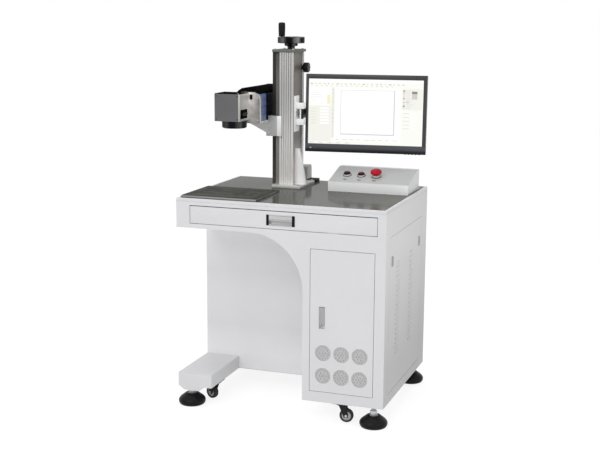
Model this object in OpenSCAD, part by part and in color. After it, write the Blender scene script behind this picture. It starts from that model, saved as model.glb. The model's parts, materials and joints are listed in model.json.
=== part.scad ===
// Laser marking machine: a sheet metal work table with a lifting column, a laser with its scan head,
// a monitor on a hinged arm and a sloped control console.
// X runs to the right, Y to the back and Z up. The origin is on the floor under the cabinet's middle.

/* [Cabinet] */
// Width of the cabinet
cab_w = 780; // [740:1:840]
// Depth of the cabinet
cab_d = 595; // [570:1:650]
// Height of the table top above the floor
table_h = 775; // [765:1:820]
// Clear height under the cabinet
ground_gap = 75; // [75:1:85]
// Height of the top box that holds the drawer
box_h = 107; // [105:1:120]
// Width of the right pedestal
pedestal_w = 298; // [290:1:320]
// Distance from the cabinet's front to the knee panel
knee_d = 264; // [255:1:280]
// Radius of the arch between the top box and the pedestal
arch_r = 200; // [160:1:210]
// Width of the left foot beam
beam_w = 132; // [128:1:140]
// Height of the left foot beam
beam_h = 49; // [44:1:60]
// Thickness of the cabinet's sheet metal
sheet = 2; // [1.5:0.5:2.5]
// Thickness of the floor pan
floor_t = 3; // [2:0.5:4]
// Gap round the door, the drawer and the side panel
seam = 1.5; // [1:0.5:2]

/* [Table top] */
// Height of the table top's folded rim
top_t = 12; // [10:1:14]
// Width of the rim round the grey insert
rim_w = 9; // [7:1:14]
// Thickness of the grey insert
insert_t = 3; // [2:0.5:4]
// Width of the work plate
plate_w = 288; // [260:1:300]
// Depth of the work plate
plate_d = 240; // [200:1:260]
// Thickness of the work plate
plate_t = 8; // [6:1:12]
// Distance of the work plate from the cabinet's left and front edges
plate_inset = 13; // [10:1:20]
// Spacing of the tapped holes in the work plate
hole_pitch = 50; // [40:5:50]
// Radius of the tapped holes in the work plate
hole_r = 3; // [2:0.5:4]

/* [Drawer] */
// Width of the drawer front
drawer_w = 694; // [660:1:700]
// Height of the drawer front
drawer_h = 62; // [58:1:64]
// Distance from the drawer front to the cabinet's right side
drawer_right = 32; // [30:1:40]
// Height of the rail under the drawer
drawer_rail = 18; // [16:1:20]
// Depth of the drawer tray
tray_d = 400; // [350:1:430]
// Travel of the drawer
drawer_travel = 300; // [250:1:320]
// Width of the drawer pull
pull_w = 106; // [90:1:120]
// Height of the drawer pull
pull_h = 38; // [34:1:42]

/* [Door and side panel] */
// Width of the door
door_w = 231; // [225:1:240]
// Height of the door
door_h = 511; // [480:1:520]
// Distance from the door to the cabinet's right side
door_right = 39; // [36:1:45]
// Height of the door's bottom edge above the cabinet's
door_low = 39; // [34:1:45]
// Depth of the door's folded edge
door_fold = 18; // [14:1:20]
// Diameter of a door vent
vent_d = 53; // [46:1:56]
// Spacing of the vents across the door
vent_dx = 67; // [60:1:68]
// Spacing of the vents up the door
vent_dz = 83; // [70:1:90]
// Width of the latch cup
latch_w = 28; // [24:1:32]
// Height of the latch cup
latch_h = 86; // [80:1:92]
// Width of the side access panel
panel_w = 460; // [440:1:470]
// Height of the side access panel
panel_h = 560; // [540:1:570]
// Louvres in each column of the side panel
louvre_n = 20; // [12:1:20]
// Spacing of the louvres
louvre_pitch = 17.5; // [16:0.5:18]
// Length of a louvre
louvre_w = 44; // [36:1:50]

/* [Running gear] */
// Diameter of a levelling pad
pad_d = 100; // [90:1:104]
// Diameter of a levelling stem
stem_d = 16; // [12:1:16]
// Distance of a levelling foot from the cabinet's side
foot_in_x = 41; // [40:1:46]
// Distance of a levelling foot from the cabinet's front or back
foot_in_y = 30; // [28:1:40]
// Diameter of a caster wheel
wheel_d = 50; // [46:1:50]
// Width of a caster wheel
wheel_w = 18; // [14:1:20]
// Clearance of a caster wheel from the floor
wheel_lift = 2; // [1:1:4]
// Distance from a caster's swivel axis to its axle
caster_trail = 17; // [16:1:22]
// Height of the skirt under the foot beam's front
skirt_h = 16; // [10:1:20]

/* [Column] */
// Width of the column's section
col_w = 87; // [78:1:90]
// Depth of the column's section
col_d = 118; // [104:1:120]
// Height of the column
col_h = 498; // [450:1:540]
// Distance from the cabinet's left side to the column
col_from_left = 223; // [220:1:240]
// Distance from the cabinet's front to the column
col_from_front = 375.5; // [370:0.5:390]
// Thickness of the column's base plate
base_t = 10; // [8:1:14]
// Thickness of the column's cap
cap_t = 10; // [8:1:14]
// Diameter of the lead screw
screw_d = 16; // [14:1:18]
// Diameter of the hand wheel
hand_d = 102; // [90:1:104]
// Height of the crank grip
grip_h = 52; // [40:1:56]
// Diameter of the clamp knob
knob_d = 38; // [34:1:42]

/* [Laser] */
// Height of the carriage's lower edge above the table
carriage_low = 194; // [190:1:210]
// Height of the carriage
carriage_h = 76; // [70:1:80]
// Width of the laser body
laser_w = 93; // [86:1:96]
// Height of the laser body
laser_h = 103; // [96:1:106]
// Length of the laser body
laser_l = 290; // [270:1:320]
// Width of the scan head
head_w = 100; // [96:1:106]
// Depth of the scan head
head_d = 92; // [88:1:96]
// Height of the scan head
head_h = 102; // [98:1:106]
// Diameter of the lens barrel
lens_d = 92; // [86:1:94]

/* [Monitor] */
// Width of the monitor
mon_w = 458; // [450:1:462]
// Height of the monitor
mon_h = 292; // [286:1:300]
// Width of the screen
screen_w = 432; // [425:1:434]
// Height of the screen
screen_h = 243; // [238:1:246]
// Turn of the monitor away from the cabinet's front
mon_turn = 7; // [4:1:9]
// Backward tilt of the monitor
mon_tilt = 3; // [2:1:5]

/* [Console] */
// Width of the console
con_w = 306; // [290:1:320]
// Depth of the console
con_d = 170; // [160:1:180]
// Height of the console's front lip
con_lip = 36; // [30:1:40]
// Height of the console's back
con_h = 76; // [70:1:82]
// Depth of the flat strip along the console's back
con_flat = 27; // [24:1:32]
// Diameter of the emergency stop's mushroom
stop_d = 42; // [36:1:44]
// Diameter of a button's bezel
bezel_d = 29; // [26:1:30]

/* [Hidden] */
$fn = 48;

// Overrun of every cut, and the clearance between pieces that slide on each other
cut = 1;
slip = 0.3;
turn_gap = 0.1;

// Cabinet faces
left = -cab_w / 2;
right = cab_w / 2;
front = -cab_d / 2;
back = cab_d / 2;
box_z = table_h - box_h;
pan_z = table_h - top_t;
knee_y = front + knee_d;
ped_x = right - pedestal_w;
floor_z = ground_gap + floor_t;

// Colours
white = "whitesmoke";
steel = "silver";
dark = "dimgray";
ink = "#202224";

// Drawer and its opening
drawer_x1 = right - drawer_right;
drawer_x0 = drawer_x1 - drawer_w;
drawer_z0 = box_z + drawer_rail;
drawer_fold = 16;
pull_shift = 2;
pull_x0 = drawer_x0 + (drawer_w - pull_w) / 2 - pull_shift;
pull_z0 = drawer_z0 + (drawer_h - pull_h) / 2;
pull_depth = drawer_fold + sheet;
pull_cap = 10;
pull_proud = 2;
pull_wall = 2;
pull_lip = 4;
pull_slot = 14;
runner_w = 13;
runner_h = 35;
runner_low = 12;
runner_z0 = drawer_z0 + runner_low;
hanger_t = 2;
tray_wall = 1.5;
tray_h = 54;
tray_x0 = drawer_x0 + runner_w * 2;
tray_x1 = drawer_x1 - runner_w * 2;
tray_y0 = front + drawer_fold;
tray_z0 = drawer_z0;
rail_t = 2;
rail_in = 4;

// Door
door_x1 = right - door_right;
door_x0 = door_x1 - door_w;
door_z0 = ground_gap + door_low;
hinge_in_x = 6;
hinge_in_y = 4;
hinge_tab = 3;
hinge_tab_w = 16;
hinge_tab_d = 8;
latch_in = 30;
latch_low = 226;
latch_x0 = door_x0 + latch_in;
latch_z0 = door_z0 + latch_low;
latch_rim = 3;
latch_depth = 14;
latch_proud = 1.5;
latch_wall = 1.5;
paddle_gap = 1;
paddle_h = 66;
lock_r = 6;
lock_proud = 0.5;
lock_up = 8;
pin_r = 1.5;
pin_in = 2;
vent_in = 49;
vent_low = 59;
vent_x0 = door_x0 + vent_in;
vent_z0 = door_z0 + vent_low;
vent_hole_r = 3.3;
vent_pitch = 10.3;
vent_rings = 2;
vent_dish = 1;
vent_band = 3;

// Side access panel
panel_in = 54;
panel_low = 37;
panel_y0 = front + panel_in;
panel_z0 = ground_gap + panel_low;
panel_lip = 12;
louvre_h = 6;
louvre_out = 3;
louvre_slot = 2;
louvre_y_shares = [0.255, 0.66];
louvre_low = 124;
louvre_z0 = panel_z0 + louvre_low;
quarter_w = 20;
quarter_h = 36;
quarter_t = 1.5;
quarter_in = 35;
quarter_low = 88;
quarter_core_r = 8;
quarter_core_t = 16;
quarter_cam_t = 2;
quarter_cam_l = 16;

// Work plate
plate_x0 = left + plate_inset;
plate_y0 = front + plate_inset;

// Column
col_x0 = left + col_from_left;
col_x1 = col_x0 + col_w;
col_y0 = front + col_from_front;
col_y1 = col_y0 + col_d;
col_z0 = table_h + base_t;
col_z1 = col_z0 + col_h;
col_y = (col_y0 + col_y1) / 2;
notch_x = 31;
notch_y = 10;
bore_wall_left = 32;
bore_wall_right = 8;
bore_x0 = col_x0 + bore_wall_left;
bore_x1 = col_x1 - bore_wall_right;
bore_wall_y = 20;
screw_x = (bore_x0 + bore_x1) / 2;
screw_r = screw_d / 2;
slot_w = 20;
groove_w = 3;
groove_depth = 3;
groove_n = 5;
groove_pitch = 9;
face_recess = 3;
face_land = 18;
base_front = 28;
base_left = 11;
base_back = 25;
base_right = 38;
gusset_t = 10;
gusset_h = 137;
gusset_low = 45;
gusset_top = 17;
gusset_y_share = 0.195;
cap_over = 3;
cap_left = 2;
cap_right = 7;
cap_hole = turn_gap;

// Hand wheel and grip
hub_r = 14;
hub_top_r = 25;
hub_step = 9;
hub_slope = 3;
wheel_gap = 1;
rim_low = 21;
rim_h = 24;
hand_rim_w = 10;
rim_edge = 2.5;
web_t = 6;
spoke_hole_r = 6.5;
spoke_holes = 4;
grip_r = 12.8;
grip_pin_r = 4;
grip_boss_r = 13;
grip_in = 13.5;
grip_gap = 1;
hand_z0 = col_z1 + cap_t + wheel_gap;
rim_z0 = hand_z0 + rim_low;
rim_z1 = rim_z0 + rim_h;
grip_x = screw_x - (hand_d / 2 - grip_in);
grip_z0 = rim_z1 + grip_gap;

// Clamp knob
knob_low = 59;
knob_z = col_z1 - knob_low;
knob_in = 91;
knob_y = col_y0 + knob_in;
knob_t = 20;
knob_neck = 9;
knob_neck_r = 8;
knob_stud_r = 4;
knob_lobes = 8;
knob_lobe_r = 4;

// Carriage, bracket and laser
rail_gap = slip;
car_t = 10;
car_front = 12;
car_lap = 11;
car_z0 = table_h + carriage_low;
car_z1 = car_z0 + carriage_h;
car_x0 = col_x0 - rail_gap - car_t;
nut_w = 32;
nut_h = 34;
shelf_t = 8;
laser_up = 61;
laser_gap = 0.7;
laser_from_front = 283.5;
laser_z0 = car_z0 + laser_up;
shelf_z0 = laser_z0 - shelf_t;
laser_x1 = car_x0 - laser_gap;
laser_x0 = laser_x1 - laser_w;
laser_y0 = front + laser_from_front;
laser_y1 = laser_y0 + laser_l;
laser_wall = 6;
laser_round = 10;
laser_groove = 3;
laser_groove_n = 3;
bracket_rib_t = 8;
bracket_rib_l = 70;
bracket_rib_tip = 6;
bracket_rib_h = 40;
cover_h = 19;
cover_in = 2;
cover_bevel_w = 18;
cover_bevel_h = 12;
fin_n = 6;
fin_w = 4;
fin_depth = 5;
end_t = 14;
end_over = 5;
end_low = 4;
end_round = 30;
rear_end_t = 8;
gland_r = 11;
gland_l = 24;
gland_hex_r = 14;
gland_hex_l = 8;

// Scan head and lens
head_in = 39.5;
head_up = 6;
head_x1 = laser_x1 - head_in;
head_x0 = head_x1 - head_w;
head_y1 = laser_y0 - end_t;
head_y0 = head_y1 - head_d;
head_z0 = laser_z0 + head_up;
head_chamfer = 4.5;
head_wall = 5;
head_lid = 2;
port_y_share = 0.12;
port_w = 64;
port_h = 33;
port_z_share = 0.09;
port_depth = 3;
lens_in_x = 38;
lens_in_y = 45;
lens_x = head_x1 - lens_in_x;
lens_y = head_y0 + lens_in_y;
lens_r = lens_d / 2;
lens_drop = 26;
lens_lip_r = 40;
lens_glass_r = 36;
lens_thread_r = 30;
lens_glass_t = 8;
lens_bevel = 2;
lens_glass_in = 3;
lens_step = 4;

// Monitor arm
hinge_out = 23;
hinge_in = 26;
mon_up = 279;
hinge_x = col_x1 + hinge_out;
hinge_y = col_y0 + hinge_in;
mon_z = table_h + mon_up;
knuckle = 22;
knuckle_h = 23;
knuckle_gap = 38;
brk_t = 6;
brk_h = 134;
brk_in = 5;
brk_y0 = col_y0 + brk_in;
brk_w = 44;
arm_pin_r = 4;
arm_t = 14;
arm_plate_t = 9.5;
arm_h = 36;
mon_side = 9;
mon_back = 21;
mon_x0 = hinge_x + mon_side;
mon_y0 = hinge_y + mon_back;
mon_t = 16;
bulge_w = 330;
bulge_h = 190;
bulge_t = 26;
bezel_side = 11.5;
bezel_top = 18;
screen_t = 2;
screen_in = 1.5;
head_pin_r = 6;
head_block = 24;
vesa = 100;
vesa_t = 3;
tilt_r = 8;
mon_cx = mon_x0 + mon_w / 2 * cos(mon_turn);
mon_cy = mon_y0 + mon_w / 2 * sin(mon_turn);
mon_depth = mon_t + bulge_t + vesa_t;
lug_l = 4;
tilt_off = mon_depth + tilt_r + lug_l;
tilt_x = mon_cx - tilt_off * sin(mon_turn);
tilt_y = mon_cy + tilt_off * cos(mon_turn);
swivel_off = 24;
swivel_x = tilt_x - swivel_off * sin(mon_turn);
swivel_y = tilt_y + swivel_off * cos(mon_turn);

// Console
con_right = 16;
con_from_front = 349.5;
con_x0 = right - con_right - con_w;
con_y0 = front + con_from_front;
con_run = con_d - con_flat;
con_slope = atan((con_h - con_lip) / con_run);
con_wall = 2;
con_mid_share = 0.45;
button_x_shares = [0.18, 0.36, 0.55];
bezel_h = 8;
bezel_bevel = 1.5;
bezel_bore_r = 11.8;
cap_low = 3;
stop_low = 1.5;
cap_r = 11.5;
cap_h = 5;
button_stem_r = 5;
button_stem = 20;
stop_r = stop_d / 2;
stop_h = 14;
stop_edge = 2;
stop_neck_r = 9;
stop_neck_gap = 1;
stop_gap = 5.5;
stop_base_r = 16;

// Cable duct
duct_in = 57;
duct_back = 32;
duct_x0 = col_x0 + duct_in;
duct_w = 35;
duct_y0 = col_y1 + duct_back;
duct_d = 55;
duct_h = 55;
duct_round = 15;
duct_wall = 3;
duct_base_t = 11;
duct_base_w = 70;
duct_base_d = 62;

// Inside pieces
pc_w = 180;
pc_d = 380;
pc_h = 400;
pc_in_x = 20;
pc_in_y = 60;
pc_x0 = ped_x + pc_in_x;
pc_y0 = front + pc_in_y;
pc_foot = 8;
pc_foot_r = 12;
case_wall = 2;
src_w = 260;
src_d = 240;
src_h = 120;
src_in_x = 140;
src_in_y = 40;
src_x0 = left + src_in_x;
src_y0 = knee_y + src_in_y;
fan_r = 35;
fan_t = 2;

// Feet and casters
skirt_w = 104;
skirt_slant = 22;
foot_x = cab_w / 2 - foot_in_x;
foot_y = cab_d / 2 - foot_in_y;
pad_h = 42;
// Radius and height of the pad's outline, as shares of its diameter and of its height
pad_shares = [[0, 0], [0.36, 0], [0.46, 0.2], [0.5, 0.34], [0.5, 0.48], [0.47, 0.6], [0.38, 0.78],
  [0.28, 0.94], [0.24, 1], [0, 1]];
nut_r = 13.5;
foot_nut_h = 16;
stem_top = 34;
stem_hole = 0.3;
wheel_z = wheel_lift + wheel_d / 2;
caster_plate = 52;
caster_plate_t = 3;
caster_hole_r = 3;
caster_hole_in = 7;
caster_x_left = left + beam_w - caster_plate / 2;
caster_in_right = 140;
caster_in_front = 31.5;
caster_in_left = 98;
caster_x_right = ped_x + caster_in_right;
caster_y_front = front + caster_in_front;
caster_y_left = front + caster_in_left;
fork_disc_r = 20;
fork_disc_t = 6;
fork_t = 2.5;
axle_r = 3;
hub_gap = 1;
fork_w = wheel_w + hub_gap + slip * 2 + fork_t * 2;
kingpin_r = 5;
fork_z1 = ground_gap - caster_plate_t - slip;
caster_turn_fl = 159;
caster_turn_fr = 5;
caster_turn_bl = 120;
caster_turn_br = 70;

// A box given by its lowest and highest corners
module span(x0, x1, y0, y1, z0, z1) {
  translate([x0, y0, z0]) cube([x1 - x0, y1 - y0, z1 - z0]);
}

// An outline in X and Z, extruded along Y from y0 to y1
module xz_plate(y0, y1) {
  translate([0, y1, 0]) rotate([90, 0, 0]) linear_extrude(y1 - y0) children();
}

// An outline in Y and Z, extruded along X from x0 to x1
module yz_plate(x0, x1) {
  translate([x0, 0, 0]) rotate([90, 0, 90]) linear_extrude(x1 - x0) children();
}

// A rectangle given by its lowest and highest corners
module rect(a0, a1, b0, b1) {
  translate([a0, b0]) square([a1 - a0, b1 - b0]);
}

// A rectangle with two round upper corners
module round_top(a0, a1, b0, b1, r) {
  rect(a0, a1, b0, b1 - r);
  rect(a0 + r, a1 - r, b0, b1);
  intersection() {
    rect(a0, a1, b0, b1);
    union() {
      translate([a0 + r, b1 - r]) circle(r);
      translate([a1 - r, b1 - r]) circle(r);
    }
  }
}

// A sheet pan that opens to the back: a face with four folded edges
module pan(x0, x1, z0, z1, y0, fold) {
  difference() {
    span(x0, x1, y0, y0 + fold, z0, z1);
    span(x0 + sheet, x1 - sheet, y0 + sheet, y0 + fold + cut, z0 + sheet, z1 - sheet);
  }
}

module front_frame() {
  color(white) xz_plate(front, front + sheet) difference() {
    union() {
      rect(left, right, box_z, pan_z);
      rect(ped_x, right, ground_gap, pan_z);
      rect(ped_x - arch_r, ped_x, box_z - arch_r, box_z);
    }
    translate([ped_x - arch_r, box_z - arch_r]) circle(arch_r, $fn = 96);
    rect(drawer_x0 - seam, drawer_x1 + seam, drawer_z0 - seam, drawer_z0 + drawer_h + seam * 2);
    rect(door_x0 - seam, door_x1 + seam, door_z0 - seam, door_z0 + door_h + seam);
  }
  color(white) for (z = [door_z0 - seam - hinge_tab, door_z0 + door_h + seam]) difference() {
    span(door_x1 - hinge_tab_w, door_x1, front + sheet / 2, front + sheet + hinge_tab_d, z, z + hinge_tab);
    translate([door_x1 - hinge_in_x, front + hinge_in_y, z - cut])
      cylinder(r = pin_r + turn_gap, h = hinge_tab + cut * 2);
  }
}

// The curved sheet that lines the knee space: the underside of the top box, the arch and the
// pedestal's side
module arch_liner() {
  color(white) xz_plate(front + sheet, knee_y) difference() {
    union() {
      rect(left + sheet, ped_x - arch_r, box_z, box_z + sheet);
      intersection() {
        translate([ped_x - arch_r, box_z - arch_r]) circle(arch_r + sheet, $fn = 96);
        rect(ped_x - arch_r, ped_x + sheet, box_z - arch_r, box_z + sheet);
      }
      rect(ped_x, ped_x + sheet, floor_z, box_z - arch_r);
    }
    translate([ped_x - arch_r, box_z - arch_r]) circle(arch_r, $fn = 96);
  }
}

module side_left() {
  color(white) {
    yz_plate(left, left + sheet) {
      rect(front + sheet, back - sheet, box_z, pan_z);
      rect(knee_y, back - sheet, ground_gap, box_z);
    }
    difference() {
      span(left, left + beam_w, front, knee_y, ground_gap, ground_gap + beam_h);
      span(left + sheet, left + beam_w - sheet, front + sheet, knee_y + cut,
        ground_gap - cut, ground_gap + beam_h - sheet);
    }
    xz_plate(front, front + sheet) polygon([[left, ground_gap + cut], [left + skirt_w, ground_gap + cut],
      [left + skirt_w, ground_gap], [left + skirt_w - skirt_slant, ground_gap - skirt_h],
      [left + skirt_slant, ground_gap - skirt_h], [left, ground_gap]]);
  }
}

module knee_panel() {
  color(white) span(left + sheet, ped_x + sheet, knee_y, knee_y + sheet, floor_z, box_z);
}

module side_right() {
  color(white) {
    yz_plate(right - sheet, right) difference() {
      rect(front + sheet, back - sheet, ground_gap, pan_z);
      rect(panel_y0 - seam, panel_y0 + panel_w + seam, panel_z0 - seam, panel_z0 + panel_h + seam);
    }
    yz_plate(right - sheet * 2, right - sheet) difference() {
      rect(panel_y0 - panel_lip, panel_y0 + panel_w + panel_lip,
        panel_z0 - panel_lip, panel_z0 + panel_h + panel_lip);
      rect(panel_y0 + panel_lip, panel_y0 + panel_w - panel_lip,
        panel_z0 + panel_lip, panel_z0 + panel_h - panel_lip);
    }
  }
}

module stem_hole(x, y) {
  translate([x, y, ground_gap - cut]) cylinder(r = stem_d / 2 + stem_hole, h = floor_t + cut * 2);
}

module floor_pan() {
  color(white) difference() {
    union() {
      span(ped_x, right - sheet, front + sheet, back - sheet, ground_gap, floor_z);
      span(left + sheet, ped_x, knee_y, back - sheet, ground_gap, floor_z);
      span(left + sheet, left + beam_w - sheet, front + sheet, knee_y, ground_gap, floor_z);
    }
    for (x = [-foot_x, foot_x], y = [-foot_y, foot_y]) stem_hole(x, y);
  }
}

// One pressed louvre at height z on a plate whose outer face looks along +X
module louvre_hood(x, y0, z) {
  translate([0, y0, 0]) xz_plate(0, louvre_w)
    polygon([[x - cut / 2, z], [x - cut / 2, z + louvre_h], [x, z + louvre_h], [x + louvre_out, z]]);
}

module louvre_cut(x, y0, z) {
  span(x - sheet - cut, x + louvre_out + cut, y0 + sheet, y0 + louvre_w - sheet,
    z - louvre_slot, z + louvre_slot / 2);
}

module side_panel() {
  panel_y1 = panel_y0 + panel_w;
  color(white) difference() {
    union() {
      span(right - sheet, right, panel_y0, panel_y1, panel_z0, panel_z0 + panel_h);
      for (s = louvre_y_shares, i = [0 : louvre_n - 1])
        louvre_hood(right, panel_y0 + panel_w * s - louvre_w / 2, louvre_z0 + i * louvre_pitch);
    }
    for (s = louvre_y_shares, i = [0 : louvre_n - 1])
      louvre_cut(right, panel_y0 + panel_w * s - louvre_w / 2, louvre_z0 + i * louvre_pitch);
    for (y = [panel_y0 + quarter_in, panel_y1 - quarter_in])
      translate([right - sheet - cut, y, panel_z0 + panel_h - quarter_low])
        rotate([0, 90, 0]) cylinder(r = quarter_core_r + turn_gap, h = sheet + cut * 2);
  }
}

// A quarter turn latch: a flush plate with a round core and a short cam behind the panel
module panel_latch(y) {
  z = panel_z0 + panel_h - quarter_low;
  color(steel) {
    difference() {
      span(right + turn_gap, right + quarter_t, y - quarter_w / 2, y + quarter_w / 2,
        z - quarter_h / 2, z + quarter_h / 2);
      translate([right + turn_gap + quarter_t / 2, y - quarter_w / 4, z - quarter_h / 4])
        cube([quarter_t, quarter_w / 2, quarter_h / 2]);
    }
    translate([right - quarter_core_t, y, z]) rotate([0, 90, 0])
      cylinder(r = quarter_core_r, h = quarter_core_t + quarter_t / 2);
    span(right - quarter_core_t - quarter_cam_t, right - quarter_core_t,
      y - quarter_core_r, y + quarter_core_r, z - quarter_cam_l, z + quarter_core_r);
  }
}

module panel_latch_front() { panel_latch(panel_y0 + quarter_in); }

module panel_latch_rear() { panel_latch(panel_y0 + panel_w - quarter_in); }

module rear_panel() {
  vent_cols_shares = [0.2, 0.5, 0.8];
  socket_w = 50;
  socket_h = 30;
  socket_x = right - 110;
  socket_z = ground_gap + 60;
  vent_low = 380;
  vent_rows = 8;
  vent_w = 70;
  color(white) {
    xz_plate(back - sheet, back) difference() {
      rect(left, right, ground_gap, pan_z);
      for (s = vent_cols_shares, i = [0 : vent_rows - 1])
        rect(left + cab_w * s - vent_w / 2, left + cab_w * s + vent_w / 2,
          ground_gap + vent_low + i * louvre_pitch,
            ground_gap + vent_low + i * louvre_pitch + louvre_slot * 2);
      rect(socket_x, socket_x + socket_w, socket_z, socket_z + socket_h);
    }
    difference() {
      span(socket_x, socket_x + socket_w, back - socket_h, back, socket_z, socket_z + socket_h);
      span(socket_x + duct_wall, socket_x + socket_w - duct_wall, back - socket_h + duct_wall, back + cut,
        socket_z + duct_wall, socket_z + socket_h - duct_wall);
    }
  }
}

module tabletop() {
  color(white) difference() {
    span(left, right, front, back, pan_z, table_h);
    span(left + rim_w, right - rim_w, front + rim_w, back - rim_w, table_h - insert_t, table_h + cut);
    span(left + sheet, right - sheet, front + sheet, back - sheet, pan_z - cut, table_h - insert_t - sheet);
  }
}

module table_insert() {
  color(dark) span(left + rim_w, right - rim_w, front + rim_w, back - rim_w, table_h - insert_t, table_h);
}

module work_plate() {
  nx = floor((plate_w - hole_pitch) / hole_pitch / 2);
  ny = floor((plate_d - hole_pitch) / hole_pitch / 2);
  cx = plate_x0 + plate_w / 2;
  cy = plate_y0 + plate_d / 2;
  color(ink) difference() {
    span(plate_x0, plate_x0 + plate_w, plate_y0, plate_y0 + plate_d, table_h, table_h + plate_t);
    for (i = [-nx : nx], j = [-ny : ny])
      translate([cx + i * hole_pitch, cy + j * hole_pitch, table_h - cut])
        cylinder(r = hole_r, h = plate_t + cut * 2);
  }
}

// Drawer
module drawer_front() {
  color(white) difference() {
    pan(drawer_x0, drawer_x1, drawer_z0, drawer_z0 + drawer_h, front, drawer_fold);
    span(pull_x0, pull_x0 + pull_w, front - cut, front + sheet + cut, pull_z0, pull_z0 + pull_h);
  }
}

module drawer_tray() {
  color(steel) difference() {
    span(tray_x0, tray_x1, tray_y0, tray_y0 + tray_d, tray_z0, tray_z0 + tray_h);
    span(tray_x0 + tray_wall, tray_x1 - tray_wall, tray_y0 + tray_wall, tray_y0 + tray_d - tray_wall,
      tray_z0 + tray_wall, tray_z0 + tray_h + cut);
  }
}

// The recessed pull: a channel profile that opens to the front, between two end caps
module drawer_pull() {
  x1 = pull_x0 + pull_w;
  z1 = pull_z0 + pull_h;
  y0 = front - pull_proud;
  color(steel) yz_plate(pull_x0 + pull_cap, x1 - pull_cap) difference() {
    rect(y0, front + pull_depth - sheet, pull_z0, z1);
    rect(front + pull_wall, front + pull_depth - sheet - pull_wall, pull_z0 + pull_wall, z1 - pull_wall);
    rect(y0 - cut, front + pull_wall + cut, pull_z0 + pull_lip, pull_z0 + pull_lip + pull_slot);
  }
  color(ink) {
    span(pull_x0, pull_x0 + pull_cap, y0, front + pull_depth - sheet, pull_z0, z1);
    span(x1 - pull_cap, x1, y0, front + pull_depth - sheet, pull_z0, z1);
  }
}

// One side's cabinet rail: a channel on a hanger below the table top; turn is 1 on the left and -1 on
// the right
module rail_outer(x, turn) {
  x_far = x - turn * runner_w;
  y1 = tray_y0 + tray_d;
  z1 = runner_z0 + runner_h;
  span(min(x_far, x_far + turn * rail_t), max(x_far, x_far + turn * rail_t), tray_y0 + runner_w, y1,
    runner_z0, pan_z + top_t - insert_t - sheet);
  for (z = [runner_z0, z1 - rail_t])
    span(min(x_far, x - turn * rail_in), max(x_far, x - turn * rail_in), tray_y0 + runner_w, y1, z,
      z + rail_t);
}

module rail_inner(x, turn) {
  y1 = tray_y0 + tray_d;
  x_far = x - turn * (runner_w - rail_t - slip * 2);
  span(min(x, x_far), max(x, x_far), tray_y0, y1, runner_z0 + rail_t + slip,
    runner_z0 + runner_h - rail_t - slip);
}

module runners_fixed() {
  color(steel) {
    rail_outer(tray_x0, 1);
    rail_outer(tray_x1, -1);
  }
}

module runners_moving() {
  color(steel) {
    rail_inner(tray_x0, 1);
    rail_inner(tray_x1, -1);
  }
}

// Door
module vent_holes(x, z) {
  for (i = [0 : vent_rings], k = [0 : max(i * 6, 1) - 1])
    translate([x + i * vent_pitch * cos(k * 60 / max(i, 1)), front - cut,
      z + i * vent_pitch * sin(k * 60 / max(i, 1))])
      rotate([-90, 0, 0]) cylinder(r = vent_hole_r, h = sheet + cut * 2);
}

module door_panel() {
  color(steel) for (z = [door_z0 - seam - hinge_tab, door_z0 + door_h - sheet / 2])
    translate([door_x1 - hinge_in_x, front + hinge_in_y, z])
      cylinder(r = pin_r, h = seam + hinge_tab + sheet / 2);
  color(white) difference() {
    pan(door_x0, door_x1, door_z0, door_z0 + door_h, front, door_fold);
    span(latch_x0, latch_x0 + latch_w, front - cut, front + sheet + cut, latch_z0, latch_z0 + latch_h);
    for (i = [0 : 2], j = [0 : 1]) {
      vent_holes(vent_x0 + i * vent_dx, vent_z0 + j * vent_dz);
      translate([vent_x0 + i * vent_dx, front - cut, vent_z0 + j * vent_dz]) rotate([-90, 0, 0])
        difference() {
          cylinder(r = vent_d / 2, h = vent_dish + cut);
          cylinder(r = vent_d / 2 - vent_band, h = vent_dish + cut);
        }
    }
  }
}

// The cup of the flush latch, with holes for the paddle's pin
module latch_cup() {
  x1 = latch_x0 + latch_w;
  z1 = latch_z0 + latch_h;
  y1 = front + latch_depth;
  color(steel) {
    difference() {
      span(latch_x0, x1, front - latch_proud, y1, latch_z0, z1);
      span(latch_x0 + latch_rim, x1 - latch_rim, front - latch_proud - cut, y1 - latch_wall,
        latch_z0 + latch_rim, z1 - latch_rim);
      translate([latch_x0 + latch_rim - pin_in - slip, front - latch_proud + pin_r,
        z1 - latch_rim - paddle_gap - pin_r * 2]) rotate([0, 90, 0])
        cylinder(r = pin_r + turn_gap, h = latch_w - latch_rim * 2 + (pin_in + slip) * 2);
    }
  }
}

module latch_paddle() {
  x0 = latch_x0 + latch_rim + paddle_gap;
  x1 = latch_x0 + latch_w - latch_rim - paddle_gap;
  z1 = latch_z0 + latch_h - latch_rim - paddle_gap;
  y0 = front - latch_proud;
  color(steel) {
    span(x0, x1, y0, y0 + latch_rim, z1 - paddle_h, z1 - pin_r * 2);
    translate([latch_x0 + latch_rim - pin_in, y0 + pin_r, z1 - pin_r * 2]) rotate([0, 90, 0])
      cylinder(r = pin_r, h = latch_w - latch_rim * 2 + pin_in * 2);
    translate([(x0 + x1) / 2, y0 - lock_proud, z1 - paddle_h + lock_up]) rotate([-90, 0, 0])
      cylinder(r = lock_r, h = latch_rim * 2);
  }
}

// Running gear
module level_foot(x, y) {
  color(ink) translate([x, y, 0]) rotate_extrude()
    polygon([for (q = pad_shares) [q[0] * pad_d, q[1] * pad_h]]);
  color(steel) translate([x, y, pad_h]) {
    cylinder(r = stem_d / 2, h = ground_gap - pad_h + stem_top);
    cylinder(r = nut_r, h = foot_nut_h, $fn = 6);
  }
}

module foot_fl() { level_foot(-foot_x, -foot_y); }

module foot_fr() { level_foot(foot_x, -foot_y); }

module foot_bl() { level_foot(-foot_x, foot_y); }

module foot_br() { level_foot(foot_x, foot_y); }

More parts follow.
